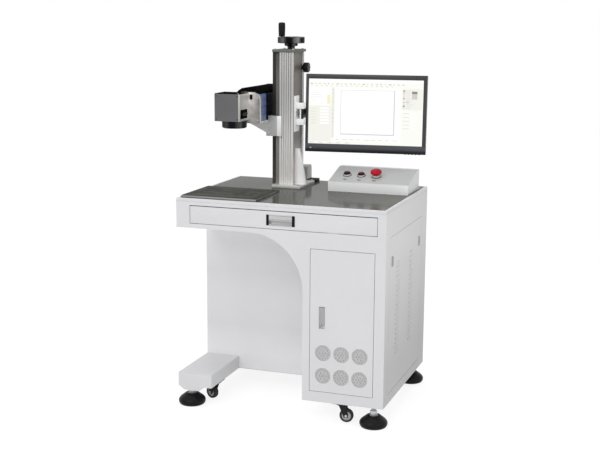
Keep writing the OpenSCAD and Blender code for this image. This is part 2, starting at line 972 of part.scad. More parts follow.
module caster_plates() {
  places = [[caster_x_left, caster_y_left], [caster_x_right, caster_y_front],
    [caster_x_left, -caster_y_left], [caster_x_right, -caster_y_left]];
  color(ink) for (p = places) translate([p[0], p[1], ground_gap - caster_plate_t]) difference() {
    translate([-caster_plate / 2, -caster_plate / 2, 0]) cube([caster_plate, caster_plate, caster_plate_t]);
    for (a = [0 : 90 : 270]) rotate(a)
      translate([caster_plate / 2 - caster_hole_in, caster_plate / 2 - caster_hole_in, -cut])
        cylinder(r = caster_hole_r, h = caster_plate_t + cut * 2);
    translate([0, 0, -cut]) cylinder(r = kingpin_r + turn_gap, h = caster_plate_t + cut * 2);
  }
}

module caster_fork(x, y, turn) {
  color(ink) translate([x, y, 0]) rotate(turn) {
    translate([0, 0, fork_z1 - fork_disc_t]) cylinder(r = fork_disc_r, h = fork_disc_t);
    translate([0, 0, fork_z1 - cut]) cylinder(r = kingpin_r, h = caster_plate_t + cut);
    for (s = [-1, 1]) difference() {
      xz_plate(min(s * fork_w / 2, s * (fork_w / 2 - fork_t)), max(s * fork_w / 2,
        s * (fork_w / 2 - fork_t)))
        polygon([[-fork_disc_r / 2, fork_z1 - fork_disc_t + cut / 2], [fork_disc_r * 0.8,
          fork_z1 - fork_disc_t + cut / 2],
          [caster_trail + axle_r * 2.4, wheel_z + axle_r], [caster_trail + axle_r * 2.4,
            wheel_z - axle_r * 2],
          [caster_trail - axle_r * 2.4, wheel_z - axle_r * 2]]);
      translate([caster_trail, -fork_w, wheel_z]) rotate([-90, 0, 0])
        cylinder(r = axle_r + turn_gap, h = fork_w * 2);
    }
  }
}

module caster_wheel(x, y, turn) {
  translate([x, y, 0]) rotate(turn) translate([caster_trail, 0, wheel_z]) rotate([90, 0, 0]) {
    color(ink) rotate_extrude() polygon([[wheel_d * 0.34, -wheel_w / 2], [wheel_d / 2 - hub_gap * 2,
      -wheel_w / 2],
      [wheel_d / 2, -wheel_w / 2 + hub_gap * 3], [wheel_d / 2, wheel_w / 2 - hub_gap * 3],
      [wheel_d / 2 - hub_gap * 2, wheel_w / 2], [wheel_d * 0.34, wheel_w / 2]]);
    color(steel) {
      rotate_extrude() polygon([[0, -wheel_w / 2 - hub_gap / 2], [axle_r * 2, -wheel_w / 2 - hub_gap / 2],
        [axle_r * 2, -wheel_w / 4], [wheel_d * 0.34, -wheel_w / 4], [wheel_d * 0.34, wheel_w / 4],
        [axle_r * 2, wheel_w / 4], [axle_r * 2, wheel_w / 2 + hub_gap / 2], [0,
          wheel_w / 2 + hub_gap / 2]]);
      translate([0, 0, -fork_w / 2 - hub_gap]) cylinder(r = axle_r, h = fork_w + hub_gap * 2);
    }
  }
}

module fork_fl() { caster_fork(caster_x_left, caster_y_left, caster_turn_fl); }

module fork_fr() { caster_fork(caster_x_right, caster_y_front, caster_turn_fr); }

module fork_bl() { caster_fork(caster_x_left, -caster_y_left, caster_turn_bl); }

module fork_br() { caster_fork(caster_x_right, -caster_y_left, caster_turn_br); }

module wheel_fl() { caster_wheel(caster_x_left, caster_y_left, caster_turn_fl); }

module wheel_fr() { caster_wheel(caster_x_right, caster_y_front, caster_turn_fr); }

module wheel_bl() { caster_wheel(caster_x_left, -caster_y_left, caster_turn_bl); }

module wheel_br() { caster_wheel(caster_x_right, -caster_y_left, caster_turn_br); }

// Column
module column_base() {
  gusset_x = col_x1 - face_recess;
  gusset_y = col_y0 + col_d * gusset_y_share;
  color(steel) {
    difference() {
      span(col_x0 + base_left, col_x1 + base_right, col_y0 - base_front, col_y1 + base_back, table_h,
        col_z0);
      translate([screw_x, col_y, table_h - cut]) cylinder(r = screw_r + turn_gap, h = base_t + cut * 2);
    }
    xz_plate(gusset_y, gusset_y + gusset_t) polygon([[gusset_x, col_z0], [col_x1 + gusset_low, col_z0],
      [col_x1 + gusset_top, col_z0 + gusset_h], [gusset_x, col_z0 + gusset_h]]);
  }
}

module column_section() {
  difference() {
    rect(col_x0, col_x1, col_y0, col_y1);
    rect(col_x0 - cut, col_x0 + notch_x, col_y0 - cut, col_y0 + notch_y);
    rect(col_x0 - cut, col_x0 + notch_x, col_y1 - notch_y, col_y1 + cut);
    rect(bore_x0, bore_x1, col_y0 + bore_wall_y, col_y1 - bore_wall_y);
    rect(col_x0 - cut, bore_x0 + cut, col_y - slot_w / 2, col_y + slot_w / 2);
    rect(col_x1 - face_recess, col_x1 + cut, col_y0 + face_land, col_y1 - face_land);
    for (i = [0 : groove_n - 1], y = [col_y0, col_y1 - groove_depth])
      translate([col_x0 + notch_x + (i + 1) * groove_pitch - groove_w / 2, y - (y == col_y0 ? cut : 0)])
        square([groove_w, groove_depth + cut]);
  }
}

module column_profile() {
  color(steel) difference() {
    translate([0, 0, col_z0]) linear_extrude(col_h) column_section();
    translate([bore_x1 - cut, knob_y, knob_z]) rotate([0, 90, 0])
      cylinder(r = knob_stud_r + turn_gap, h = col_x1 - bore_x1 + cut * 2);
  }
}

module column_cap() {
  color(steel) difference() {
    span(col_x0 + cap_left, col_x1 + cap_right, col_y0 - cap_over, col_y1 + cap_over, col_z1,
      col_z1 + cap_t);
    translate([screw_x, col_y, col_z1 - cut]) cylinder(r = screw_r + cap_hole, h = cap_t + cut * 2);
  }
}

module lead_screw() {
  color(steel) translate([screw_x, col_y, table_h + slip])
    cylinder(r = screw_r, h = hand_z0 - table_h - slip);
}

// The hand wheel: a stepped hub, a web with round holes, a deep rim and the boss that holds the grip's pin
module handwheel() {
  r = hand_d / 2;
  rim_x = r - hand_rim_w;
  color(ink) {
    translate([screw_x, col_y, 0]) difference() {
      rotate_extrude() polygon([[0, hand_z0], [hub_r, hand_z0], [hub_r, hand_z0 + hub_step],
        [hub_top_r, hand_z0 + hub_step + hub_slope], [hub_top_r, rim_z0], [r - rim_edge, rim_z0],
        [r, rim_z0 + rim_edge], [r, rim_z1 - rim_edge], [r - rim_edge, rim_z1],
        [rim_x + rim_edge, rim_z1], [rim_x, rim_z1 - rim_edge], [rim_x, rim_z0 + web_t],
        [hub_r, rim_z0 + web_t], [hub_r, rim_z1 - web_t], [0, rim_z1 - web_t]]);
      for (i = [0 : spoke_holes - 1]) rotate(45 + i * 360 / spoke_holes)
        translate([(hub_top_r + rim_x) / 2, 0, rim_z0 - cut]) cylinder(r = spoke_hole_r, h = rim_h);
    }
    translate([grip_x, col_y, rim_z0]) cylinder(r = grip_boss_r, h = rim_h);
    translate([grip_x, col_y, rim_z1 - cut]) cylinder(r = grip_pin_r,
      h = cut + grip_gap + grip_h - grip_pin_r);
  }
}

module crank_grip() {
  color(ink) translate([grip_x, col_y, grip_z0]) rotate_extrude()
    polygon([[grip_pin_r + turn_gap, 0], [grip_r * 0.78, 0], [grip_r * 0.86, grip_h * 0.12],
      [grip_r, grip_h * 0.6], [grip_r, grip_h * 0.92], [grip_r * 0.88, grip_h * 0.98],
      [grip_r * 0.6, grip_h], [0, grip_h], [0, grip_h - grip_pin_r / 2],
      [grip_pin_r + turn_gap, grip_h - grip_pin_r / 2]]);
}

// The clamp knob: a lobed head on a neck, with its stud through the column's right wall
module clamp_knob() {
  color(ink) translate([col_x1 + turn_gap, knob_y, knob_z]) rotate([0, 90, 0]) difference() {
    union() {
      translate([0, 0, knob_neck]) cylinder(r = knob_d / 2, h = knob_t);
      cylinder(r = knob_neck_r, h = knob_neck + cut);
    }
    for (i = [0 : knob_lobes - 1]) rotate(i * 360 / knob_lobes)
      translate([knob_d / 2 + knob_lobe_r * 0.4, 0, knob_neck - cut]) cylinder(r = knob_lobe_r,
        h = knob_t + cut * 2);
  }
  color(steel) translate([bore_x1, knob_y, knob_z]) rotate([0, 90, 0])
    cylinder(r = knob_stud_r, h = col_x1 - bore_x1 + turn_gap);
}

// The carriage: a slab on the column's left face that wraps into both notches, with the screw nut inside
module carriage() {
  x1 = col_x0 + notch_x;
  color(steel) {
    translate([0, 0, car_z0]) linear_extrude(carriage_h) difference() {
      rect(car_x0, x1 + car_lap, col_y0 - car_front, col_y1 + car_front);
      rect(col_x0 - rail_gap, x1 + car_lap + cut, col_y0 + notch_y - rail_gap, col_y1 - notch_y + rail_gap);
      rect(x1 - rail_gap, x1 + car_lap + cut, col_y0 - rail_gap, col_y1 + rail_gap);
    }
    difference() {
      union() {
        span(col_x0 - rail_gap - cut, screw_x - screw_r, col_y - slot_w / 2 + rail_gap,
          col_y + slot_w / 2 - rail_gap,
          car_z0 + (carriage_h - nut_h) / 2, car_z0 + (carriage_h + nut_h) / 2);
        span(screw_x - nut_w / 2, screw_x + nut_w / 2, col_y - nut_w / 2, col_y + nut_w / 2,
          car_z0 + (carriage_h - nut_h) / 2, car_z0 + (carriage_h + nut_h) / 2);
      }
      translate([screw_x, col_y, car_z0]) cylinder(r = screw_r + turn_gap, h = carriage_h);
    }
  }
}

module laser_bracket() {
  y0 = col_y0 - car_front;
  y1 = col_y1 + car_front;
  x1 = car_x0;
  color(steel) {
    span(laser_x0, x1, laser_y0, y1, shelf_z0, laser_z0);
    span(x1 - shelf_t, x1, y0, y1, car_z0, shelf_z0);
    for (y = [y0, y1 - bracket_rib_t])
      xz_plate(y, y + bracket_rib_t) polygon([[x1 - shelf_t, shelf_z0], [x1 - shelf_t - bracket_rib_l,
        shelf_z0],
        [x1 - shelf_t - bracket_rib_l, shelf_z0 - bracket_rib_tip], [x1 - shelf_t,
          shelf_z0 - bracket_rib_h]]);
  }
}

module laser_body() {
  color("steelblue") xz_plate(laser_y0, laser_y1) difference() {
    round_top(laser_x0, laser_x1, laser_z0, laser_z0 + laser_h, laser_round);
    round_top(laser_x0 + laser_wall, laser_x1 - laser_wall, laser_z0 + laser_wall,
      laser_z0 + laser_h - laser_wall, laser_round / 2);
    for (i = [1 : laser_groove_n], x = [laser_x0, laser_x1])
      translate([x, laser_z0 + laser_h * i / (laser_groove_n + 1)]) circle(laser_groove / 2);
  }
}

module laser_cover() {
  x0 = laser_x0 + cover_in;
  x1 = laser_x1 - cover_in;
  z0 = laser_z0 + laser_h;
  z1 = z0 + cover_h;
  fin_x0 = x0 + cover_bevel_w;
  fin_x1 = x1 - cover_bevel_w;
  color(ink) xz_plate(laser_y0, laser_y1) difference() {
    polygon([[x0, z0], [x1, z0], [x1, z1 - cover_bevel_h], [fin_x1, z1], [fin_x0, z1],
      [x0, z1 - cover_bevel_h]]);
    for (i = [1 : fin_n])
      translate([fin_x0 + (fin_x1 - fin_x0) * i / (fin_n + 1) - fin_w / 2, z1 - fin_depth])
        square([fin_w, fin_depth + cut]);
  }
}

// The end plates: an arched plate behind the scan head, and a rear plate with a cable gland
module laser_ends() {
  xm = (laser_x0 + laser_x1) / 2;
  z1 = laser_z0 + laser_h + end_over;
  color(steel) {
    xz_plate(laser_y0 - end_t, laser_y0)
      round_top(laser_x0 - end_over, laser_x1 + end_over, laser_z0 - end_low, z1, end_round);
    xz_plate(laser_y1, laser_y1 + rear_end_t)
      round_top(laser_x0, laser_x1, laser_z0, z1 + cover_h - end_over, laser_round);
  }
  color(ink) translate([xm, laser_y1 + rear_end_t, laser_z0 + laser_h / 2]) rotate([-90, 0, 0]) {
    cylinder(r = gland_hex_r, h = gland_hex_l, $fn = 6);
    cylinder(r = gland_r, h = gland_l);
  }
}

module scan_head() {
  c = head_chamfer;
  port_y = head_y0 + head_d * port_y_share;
  port_z = head_z0 + head_h * port_z_share;
  color(dark) difference() {
    translate([0, 0, head_z0]) linear_extrude(head_h - head_lid) polygon([[head_x0, head_y0 + c],
      [head_x0 + c, head_y0], [head_x1 - c, head_y0], [head_x1, head_y0 + c], [head_x1, head_y1],
        [head_x0, head_y1]]);
    span(head_x0 + head_wall, head_x1 - head_wall, head_y0 + head_wall, head_y1 - head_wall,
      head_z0 + head_wall, head_z0 + head_h - head_wall);
    translate([lens_x, lens_y, head_z0 - cut]) cylinder(r = lens_thread_r, h = head_wall + cut * 2);
    span(head_x1 - port_depth, head_x1 + cut, port_y, port_y + port_w, port_z, port_z + port_h);
  }
  color(ink) span(head_x0 + c / 2, head_x1 - c / 2, head_y0 + c / 2, head_y1,
    head_z0 + head_h - head_lid, head_z0 + head_h);
}

// The flat field lens: a turned barrel with a thread above and the front glass inside its lip
module scan_lens() {
  z0 = head_z0 - lens_drop;
  color(ink) translate([lens_x, lens_y, 0]) rotate_extrude() polygon([[lens_thread_r - head_wall,
    head_z0 + head_wall],
    [lens_thread_r - turn_gap, head_z0 + head_wall], [lens_thread_r - turn_gap, head_z0],
    [lens_r, head_z0], [lens_r, z0 + lens_bevel * 2], [lens_r - lens_bevel, z0 + lens_bevel],
    [lens_lip_r, z0], [lens_glass_r, z0],
    [lens_glass_r, z0 + lens_glass_t + lens_step],
    [lens_thread_r - head_wall, z0 + lens_glass_t + lens_step * 2]]);
  color("lightblue") translate([lens_x, lens_y, z0 + lens_glass_in]) cylinder(r = lens_glass_r,
    h = lens_glass_t);
}

// Monitor
module monitor_bracket() {
  z = mon_z;
  color(white) difference() {
    union() {
      span(col_x1, col_x1 + brk_t, brk_y0, brk_y0 + brk_w, z - brk_h / 2, z + brk_h / 2);
      for (s = [-1, 1])
        span(col_x1 + brk_t - cut, hinge_x + knuckle / 2, hinge_y - knuckle / 2, hinge_y + knuckle / 2,
          z + s * (knuckle_gap + knuckle_h) / 2 - knuckle_h / 2, z + s * (knuckle_gap + knuckle_h)
            / 2 + knuckle_h / 2);
    }
    translate([hinge_x, hinge_y, z - brk_h / 2]) cylinder(r = arm_pin_r + turn_gap, h = brk_h);
  }
}

module monitor_arm() {
  z = mon_z;
  w = arm_t;
  run = swivel_y - hinge_y + w / 2;
  color(ink) {
    translate([hinge_x, hinge_y, z - knuckle_gap / 2 - knuckle_h])
      cylinder(r = arm_pin_r, h = knuckle_gap + knuckle_h * 2);
    difference() {
      union() {
        translate([hinge_x, hinge_y, z - knuckle_gap / 2 + slip]) cylinder(r = w / 2,
          h = knuckle_gap - slip * 2);
        span(hinge_x - w / 2, hinge_x - w / 2 + arm_plate_t, hinge_y, hinge_y + run, z - arm_h / 2,
          z + arm_h / 2);
        span(hinge_x - w / 2, swivel_x, swivel_y - w / 2, swivel_y + w / 2, z - arm_h / 2,
          z + arm_h / 2);
        translate([swivel_x, swivel_y, z - arm_h / 2]) cylinder(r = head_block / 2, h = arm_h);
      }
      translate([swivel_x, swivel_y, z - arm_h]) cylinder(r = head_pin_r + turn_gap, h = arm_h * 2);
    }
  }
}

// Places what is drawn facing -Y with its centre at the origin at the monitor's front centre
module at_monitor() {
  translate([tilt_x, tilt_y, mon_z]) rotate([0, 0, mon_turn]) rotate([-mon_tilt, 0, 0])
    translate([0, -tilt_off, 0]) children();
}

module monitor_head() {
  z = mon_z;
  color(ink) translate([swivel_x, swivel_y, z]) rotate(mon_turn) {
    difference() {
      union() {
        for (s = [-1, 1])
          translate([0, 0, s > 0 ? arm_h / 2 + slip : -arm_h / 2 - slip - tilt_r])
            cylinder(r = head_block / 2, h = tilt_r);
        for (s = [-1, 1])
          span(-head_block / 2, head_block / 2, -swivel_off, 0,
            s > 0 ? arm_h / 2 + slip : -arm_h / 2 - slip - tilt_r,
              s > 0 ? arm_h / 2 + slip + tilt_r : -arm_h / 2 - slip);
        span(-head_block / 2, head_block / 2, -swivel_off, -swivel_off + tilt_r, -arm_h / 2 - slip,
          arm_h / 2 + slip);
        translate([-head_block / 2, -swivel_off, 0]) rotate([0, 90, 0]) cylinder(r = tilt_r,
          h = head_block);
      }
      translate([-head_block, -swivel_off, 0]) rotate([0, 90, 0]) cylinder(r = arm_pin_r + turn_gap,
        h = head_block * 2);
    }
    translate([0, 0, -arm_h / 2 - slip - tilt_r]) cylinder(r = head_pin_r,
      h = arm_h + slip * 2 + tilt_r * 2);
  }
}

module monitor_housing() {
  lug = tilt_off - mon_depth;
  color(ink) at_monitor() {
    difference() {
      union() {
        xz_plate(0, mon_t) rect(-mon_w / 2, mon_w / 2, -mon_h / 2, mon_h / 2);
        xz_plate(mon_t, mon_t + bulge_t) rect(-bulge_w / 2, bulge_w / 2, -bulge_h / 2, bulge_h / 2);
      }
      span(-mon_w / 2 + bezel_side, -mon_w / 2 + bezel_side + screen_w, -cut, screen_t + screen_in,
        mon_h / 2 - bezel_top - screen_h, mon_h / 2 - bezel_top);
    }
    xz_plate(mon_t + bulge_t, mon_depth) rect(-vesa / 2, vesa / 2, -vesa / 2, vesa / 2);
    for (s = [-1, 1]) difference() {
      union() {
        span(min(s * (head_block / 2 + slip), s * (head_block / 2 + slip + tilt_r)),
          max(s * (head_block / 2 + slip), s * (head_block / 2 + slip + tilt_r)),
          mon_depth - cut / 2, tilt_off, -tilt_r, tilt_r);
        translate([s > 0 ? head_block / 2 + slip : -head_block / 2 - slip - tilt_r, tilt_off, 0])
          rotate([0, 90, 0]) cylinder(r = tilt_r, h = tilt_r);
      }
    }
    translate([-head_block / 2 - slip - tilt_r, tilt_off, 0]) rotate([0, 90, 0])
      cylinder(r = arm_pin_r, h = head_block + slip * 2 + tilt_r * 2);
  }
}

module monitor_screen() {
  color("ivory") at_monitor()
    span(-mon_w / 2 + bezel_side, -mon_w / 2 + bezel_side + screen_w, screen_in, screen_in + screen_t,
      mon_h / 2 - bezel_top - screen_h, mon_h / 2 - bezel_top);
}

// Console
module console_outline(w) {
  polygon([[con_y0 + w, table_h - (w > 0 ? cut : 0)], [con_y0 + w, table_h + con_lip - w],
    [con_y0 + con_run, table_h + con_h - w], [con_y0 + con_d - w, table_h + con_h - w],
    [con_y0 + con_d - w, table_h - (w > 0 ? cut : 0)]]);
}

// Places what is drawn upright on the console's sloped face, at a share of its width
module on_slope(share) {
  translate([con_x0 + con_w * share, con_y0 + con_run * con_mid_share,
    table_h + con_lip + (con_h - con_lip) * con_mid_share]) rotate([con_slope, 0, 0]) children();
}

module console_shell() {
  color(white) difference() {
    yz_plate(con_x0, con_x0 + con_w) console_outline(0);
    yz_plate(con_x0 + con_wall, con_x0 + con_w - con_wall) console_outline(con_wall);
    for (s = button_x_shares) on_slope(s) translate([0, 0, -con_wall * 3])
      cylinder(r = button_stem_r + slip, h = con_wall * 6);
  }
  color(steel) for (i = [0 : 1]) on_slope(button_x_shares[i]) rotate_extrude()
    polygon([[bezel_bore_r, 0], [bezel_d / 2, 0], [bezel_d / 2, bezel_h - bezel_bevel],
      [bezel_d / 2 - bezel_bevel, bezel_h], [bezel_bore_r, bezel_h]]);
  color("gold") on_slope(button_x_shares[2]) rotate_extrude()
    polygon([[stop_neck_r + stop_neck_gap, 0], [stop_base_r, 0], [stop_base_r, bezel_h],
      [stop_neck_r + stop_neck_gap, bezel_h]]);
}

module push_cap() {
  rotate_extrude() polygon([[0, cap_low], [cap_r, cap_low], [cap_r, bezel_h + cap_h * 0.8],
    [cap_r * 0.9, bezel_h + cap_h], [0, bezel_h + cap_h]]);
  translate([0, 0, -button_stem]) cylinder(r = button_stem_r, h = button_stem + bezel_h);
}

module start_button() { color("#5a1a20") on_slope(button_x_shares[0]) push_cap(); }

module laser_button() { color("crimson") on_slope(button_x_shares[1]) push_cap(); }

module emergency_stop() {
  z = bezel_h + stop_gap;
  color("red") on_slope(button_x_shares[2]) {
    rotate_extrude() polygon([[0, bezel_h + stop_low], [stop_neck_r, bezel_h + stop_low], [stop_neck_r, z],
      [stop_r - stop_edge, z], [stop_r, z + stop_edge], [stop_r, z + stop_h * 0.5], [stop_r * 0.86,
        z + stop_h * 0.8],
      [stop_r * 0.5, z + stop_h * 0.96], [0, z + stop_h]]);
    translate([0, 0, -button_stem]) cylinder(r = button_stem_r, h = button_stem + bezel_h + stop_low);
  }
}

// The cable duct behind the column, on its black base
module cable_duct() {
  z0 = table_h + duct_base_t;
  y1 = duct_y0 + duct_d;
  color(ink) difference() {
    span(duct_x0 - duct_wall, duct_x0 - duct_wall + duct_base_w, duct_y0 - duct_wall,
      duct_y0 - duct_wall + duct_base_d,
      table_h, z0);
    span(duct_x0 + duct_wall, duct_x0 + duct_w - duct_wall, duct_y0 + duct_wall, y1 - duct_wall,
      table_h - cut, z0 + cut);
  }
  color(steel) difference() {
    yz_plate(duct_x0, duct_x0 + duct_w) round_top(duct_y0, y1, z0, z0 + duct_h, duct_round);
    span(duct_x0 + duct_wall, duct_x0 + duct_w - duct_wall, duct_y0 + duct_wall, y1 - duct_wall,
      z0 - cut, z0 + duct_h - duct_round);
  }
}

// Pieces inside the cabinet
module computer_case() {
  color(ink) {
    difference() {
      span(pc_x0, pc_x0 + pc_w, pc_y0, pc_y0 + pc_d, floor_z + pc_foot, floor_z + pc_foot + pc_h);
      span(pc_x0 + case_wall, pc_x0 + pc_w - case_wall, pc_y0 + case_wall + fan_t, pc_y0 + pc_d - case_wall,
        floor_z + pc_foot + case_wall, floor_z + pc_foot + pc_h - case_wall);
      translate([pc_x0 + pc_w / 2, pc_y0 - cut, floor_z + pc_foot + pc_h / 4]) rotate([-90, 0, 0])
        cylinder(r = fan_r, h = fan_t + cut);
    }
    for (x = [pc_x0 + pc_foot_r, pc_x0 + pc_w - pc_foot_r], y = [pc_y0 + pc_foot_r,
      pc_y0 + pc_d - pc_foot_r])
      translate([x, y, floor_z]) cylinder(r = pc_foot_r / 2, h = pc_foot);
  }
}

module laser_source() {
  color(steel) difference() {
    span(src_x0, src_x0 + src_w, src_y0, src_y0 + src_d, floor_z, floor_z + src_h);
    span(src_x0 + case_wall, src_x0 + src_w - case_wall, src_y0 + case_wall + fan_t,
      src_y0 + src_d - case_wall,
      floor_z + case_wall, floor_z + src_h - case_wall);
    for (s = [0.3, 0.7]) translate([src_x0 + src_w * s, src_y0 - cut, floor_z + src_h / 2])
      rotate([-90, 0, 0])
      cylinder(r = fan_r, h = fan_t + cut);
  }
}

front_frame();
side_left();
side_right();
knee_panel();
arch_liner();
floor_pan();
rear_panel();
tabletop();
table_insert();
work_plate();
runners_fixed();
caster_plates();
column_base();
column_profile();
column_cap();
console_shell();
monitor_bracket();
computer_case();
laser_source();
cable_duct();
drawer_front();
drawer_tray();
drawer_pull();
runners_moving();
door_panel();
latch_cup();
latch_paddle();
side_panel();
panel_latch_front();
panel_latch_rear();
foot_fl();
foot_fr();
foot_bl();
foot_br();
fork_fl();
fork_fr();
fork_bl();
fork_br();
wheel_fl();
wheel_fr();
wheel_bl();
wheel_br();
handwheel();
lead_screw();
crank_grip();
clamp_knob();
carriage();
laser_bracket();
laser_body();
laser_cover();
laser_ends();
scan_head();
scan_lens();
monitor_arm();
monitor_head();
monitor_housing();
monitor_screen();
start_button();
laser_button();
emergency_stop();
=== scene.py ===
import bpy
import bmesh
import json
import math
from mathutils import Matrix, Vector

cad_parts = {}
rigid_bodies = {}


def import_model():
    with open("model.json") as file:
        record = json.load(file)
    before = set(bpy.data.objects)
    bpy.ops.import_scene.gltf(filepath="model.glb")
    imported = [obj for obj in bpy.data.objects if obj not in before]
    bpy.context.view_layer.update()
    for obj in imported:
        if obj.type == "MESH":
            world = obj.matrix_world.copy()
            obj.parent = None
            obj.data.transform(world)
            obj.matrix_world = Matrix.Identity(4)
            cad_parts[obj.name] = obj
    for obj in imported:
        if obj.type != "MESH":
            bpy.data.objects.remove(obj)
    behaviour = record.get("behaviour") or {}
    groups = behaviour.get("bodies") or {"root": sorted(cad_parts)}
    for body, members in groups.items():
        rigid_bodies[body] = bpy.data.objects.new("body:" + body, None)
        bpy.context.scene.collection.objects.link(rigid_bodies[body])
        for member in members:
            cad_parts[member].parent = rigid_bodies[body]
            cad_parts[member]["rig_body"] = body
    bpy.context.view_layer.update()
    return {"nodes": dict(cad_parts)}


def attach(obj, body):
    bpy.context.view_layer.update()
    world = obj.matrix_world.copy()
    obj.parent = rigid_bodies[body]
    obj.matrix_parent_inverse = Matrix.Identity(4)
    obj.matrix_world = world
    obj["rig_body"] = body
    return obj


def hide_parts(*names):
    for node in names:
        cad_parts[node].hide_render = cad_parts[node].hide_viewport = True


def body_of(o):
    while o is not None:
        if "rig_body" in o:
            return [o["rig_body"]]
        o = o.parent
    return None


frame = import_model()
nodes = frame["nodes"]
MM = 0.001
ALONG_X, ALONG_Y, ALONG_Z = range(3)
TO_RIGHT, TO_LEFT, TO_BACK, TO_FRONT = (1, 0, 0), (-1, 0, 0), (0, 1, 0), (0, -1, 0)
TO_TOP, TO_BASE = (0, 0, 1), (0, 0, -1)

# Camera at the photograph's viewing angle
CAM_POS = Vector((1.3691, -3.9676, 1.4371))
CAM_AZ, CAM_EL, CAM_ROLL = math.radians(19.34), math.radians(10.63), math.radians(0.37)
CAM_LENS, CAM_SENSOR = 68.66, 36.0
CAM_NEAR, CAM_FAR = 0.05, 60.0


def make_camera():
    data = bpy.data.cameras.new("camera")
    data.sensor_width = CAM_SENSOR
    data.lens = CAM_LENS
    data.clip_start, data.clip_end = CAM_NEAR, CAM_FAR
    cam = bpy.data.objects.new("camera", data)
    back = Vector((math.sin(CAM_AZ) * math.cos(CAM_EL), -math.cos(CAM_AZ) * math.cos(CAM_EL),
                   math.sin(CAM_EL)))
    right = Vector((math.cos(CAM_AZ), math.sin(CAM_AZ), 0))
    up = back.cross(right)
    c, s = math.cos(CAM_ROLL), math.sin(CAM_ROLL)
    m = Matrix((c * right + s * up, -s * right + c * up, back)).transposed().to_4x4()
    m.translation = CAM_POS
    cam.matrix_world = m
    bpy.context.scene.collection.objects.link(cam)
    bpy.context.scene.camera = cam


make_camera()
bpy.context.scene.view_settings.view_transform = "Standard"

# The middle range of a noise, the height of the finest relief and the least roughness of a finish
NOISE_LOW, NOISE_HIGH = 0.3, 0.7
GRAIN_DEPTH = 0.0002
LEAST_ROUGH = 0.02


# Helpers for materials. Most of them give back a socket of the node tree
def tree_of(name):
    mat = bpy.data.materials.new(name)
    mat.use_nodes = True
    nt = mat.node_tree
    return mat, nt, nt.nodes["Principled BSDF"]


def fill(node, values):
    """Sets inputs of a node by their names."""
    for name, value in values.items():
        node.inputs[name].default_value = value


def noise(nt, scale, detail, stretch=(1, 1, 1)):
    coord = nt.nodes.new("ShaderNodeTexCoord")
    mapping = nt.nodes.new("ShaderNodeMapping")
    fill(mapping, {"Scale": stretch})
    tex = nt.nodes.new("ShaderNodeTexNoise")
    fill(tex, {"Scale": scale, "Detail": detail})
    nt.links.new(coord.outputs["Object"], mapping.inputs["Vector"])
    nt.links.new(mapping.outputs["Vector"], tex.inputs["Vector"])
    return tex.outputs["Fac"]


def ramp(nt, source, low, high):
    """A colour that goes from low to high with a noise."""
    node = nt.nodes.new("ShaderNodeValToRGB")
    node.color_ramp.elements[0].position = NOISE_LOW
    node.color_ramp.elements[1].position = NOISE_HIGH
    node.color_ramp.elements[0].color = (*low, 1)
    node.color_ramp.elements[1].color = (*high, 1)
    nt.links.new(source, node.inputs["Fac"])
    return node.outputs["Color"]


def map_range(nt, value, start, end, first, last):
    """A value that runs from first to last while the given one runs from start to end."""
    node = nt.nodes.new("ShaderNodeMapRange")
    fill(node, {"From Min": start, "From Max": end, "To Min": first, "To Max": last})
    nt.links.new(value, node.inputs["Value"])
    return node.outputs["Result"]


def calc(nt, operation, *values):
    """A calculation with numbers and sockets."""
    node = nt.nodes.new("ShaderNodeMath")
    node.operation = operation
    for i, value in enumerate(values):
        if isinstance(value, (int, float)):
            node.inputs[i].default_value = value
        else:
            nt.links.new(value, node.inputs[i])
    return node.outputs["Value"]


def scaled(nt, tone, share):
    """A colour times a value."""
    node = nt.nodes.new("ShaderNodeVectorMath")
    node.operation = "SCALE"
    nt.links.new(tone, node.inputs[0])
    nt.links.new(share, node.inputs["Scale"])
    return node.outputs["Vector"]


def place_of(nt):
    """X, Y and Z of the shaded place, with the part at rest."""
    coord = nt.nodes.new("ShaderNodeTexCoord")
    split = nt.nodes.new("ShaderNodeSeparateXYZ")
    nt.links.new(coord.outputs["Object"], split.inputs["Vector"])
    return split.outputs


# The direction that the painted glint is measured along, and the glint's strength by that measure
PAINTED_GLINT_SIDE = (0.944, 0.331, 0)
PAINTED_GLINT_STOPS = ((0.0, 0.04), (0.08, 0.06), (0.15, 0.13), (0.2, 0.15), (0.27, 0.06), (0.33, 0.01),
               (0.37, 0.003), (0.49, 0.003), (0.55, 0.02), (0.61, 0.13), (0.7, 0.2), (0.77, 0.3),
               (0.82, 0.12), (0.87, 0.006), (0.93, 0.03), (1.0, 0.04))


def painted_glint(nt, painted_glint_gain):
    """A painted glint: the reflection of lit panels beside the camera, painted by the side a face looks to.
    """
    geo = nt.nodes.new("ShaderNodeNewGeometry")
    dot = nt.nodes.new("ShaderNodeVectorMath")
    dot.operation = "DOT_PRODUCT"
    dot.inputs[1].default_value = PAINTED_GLINT_SIDE
    nt.links.new(geo.outputs["Normal"], dot.inputs[0])
    node = nt.nodes.new("ShaderNodeValToRGB")
    while len(node.color_ramp.elements) < len(PAINTED_GLINT_STOPS):
        node.color_ramp.elements.new(0.5)
    for element, (at, value) in zip(node.color_ramp.elements, PAINTED_GLINT_STOPS):
        element.position = at
        element.color = (value * painted_glint_gain, value * painted_glint_gain, value * painted_glint_gain, 1)
    nt.links.new(map_range(nt, dot.outputs["Value"], -1, 1, 0, 1), node.inputs["Fac"])
    return node.outputs["Color"]


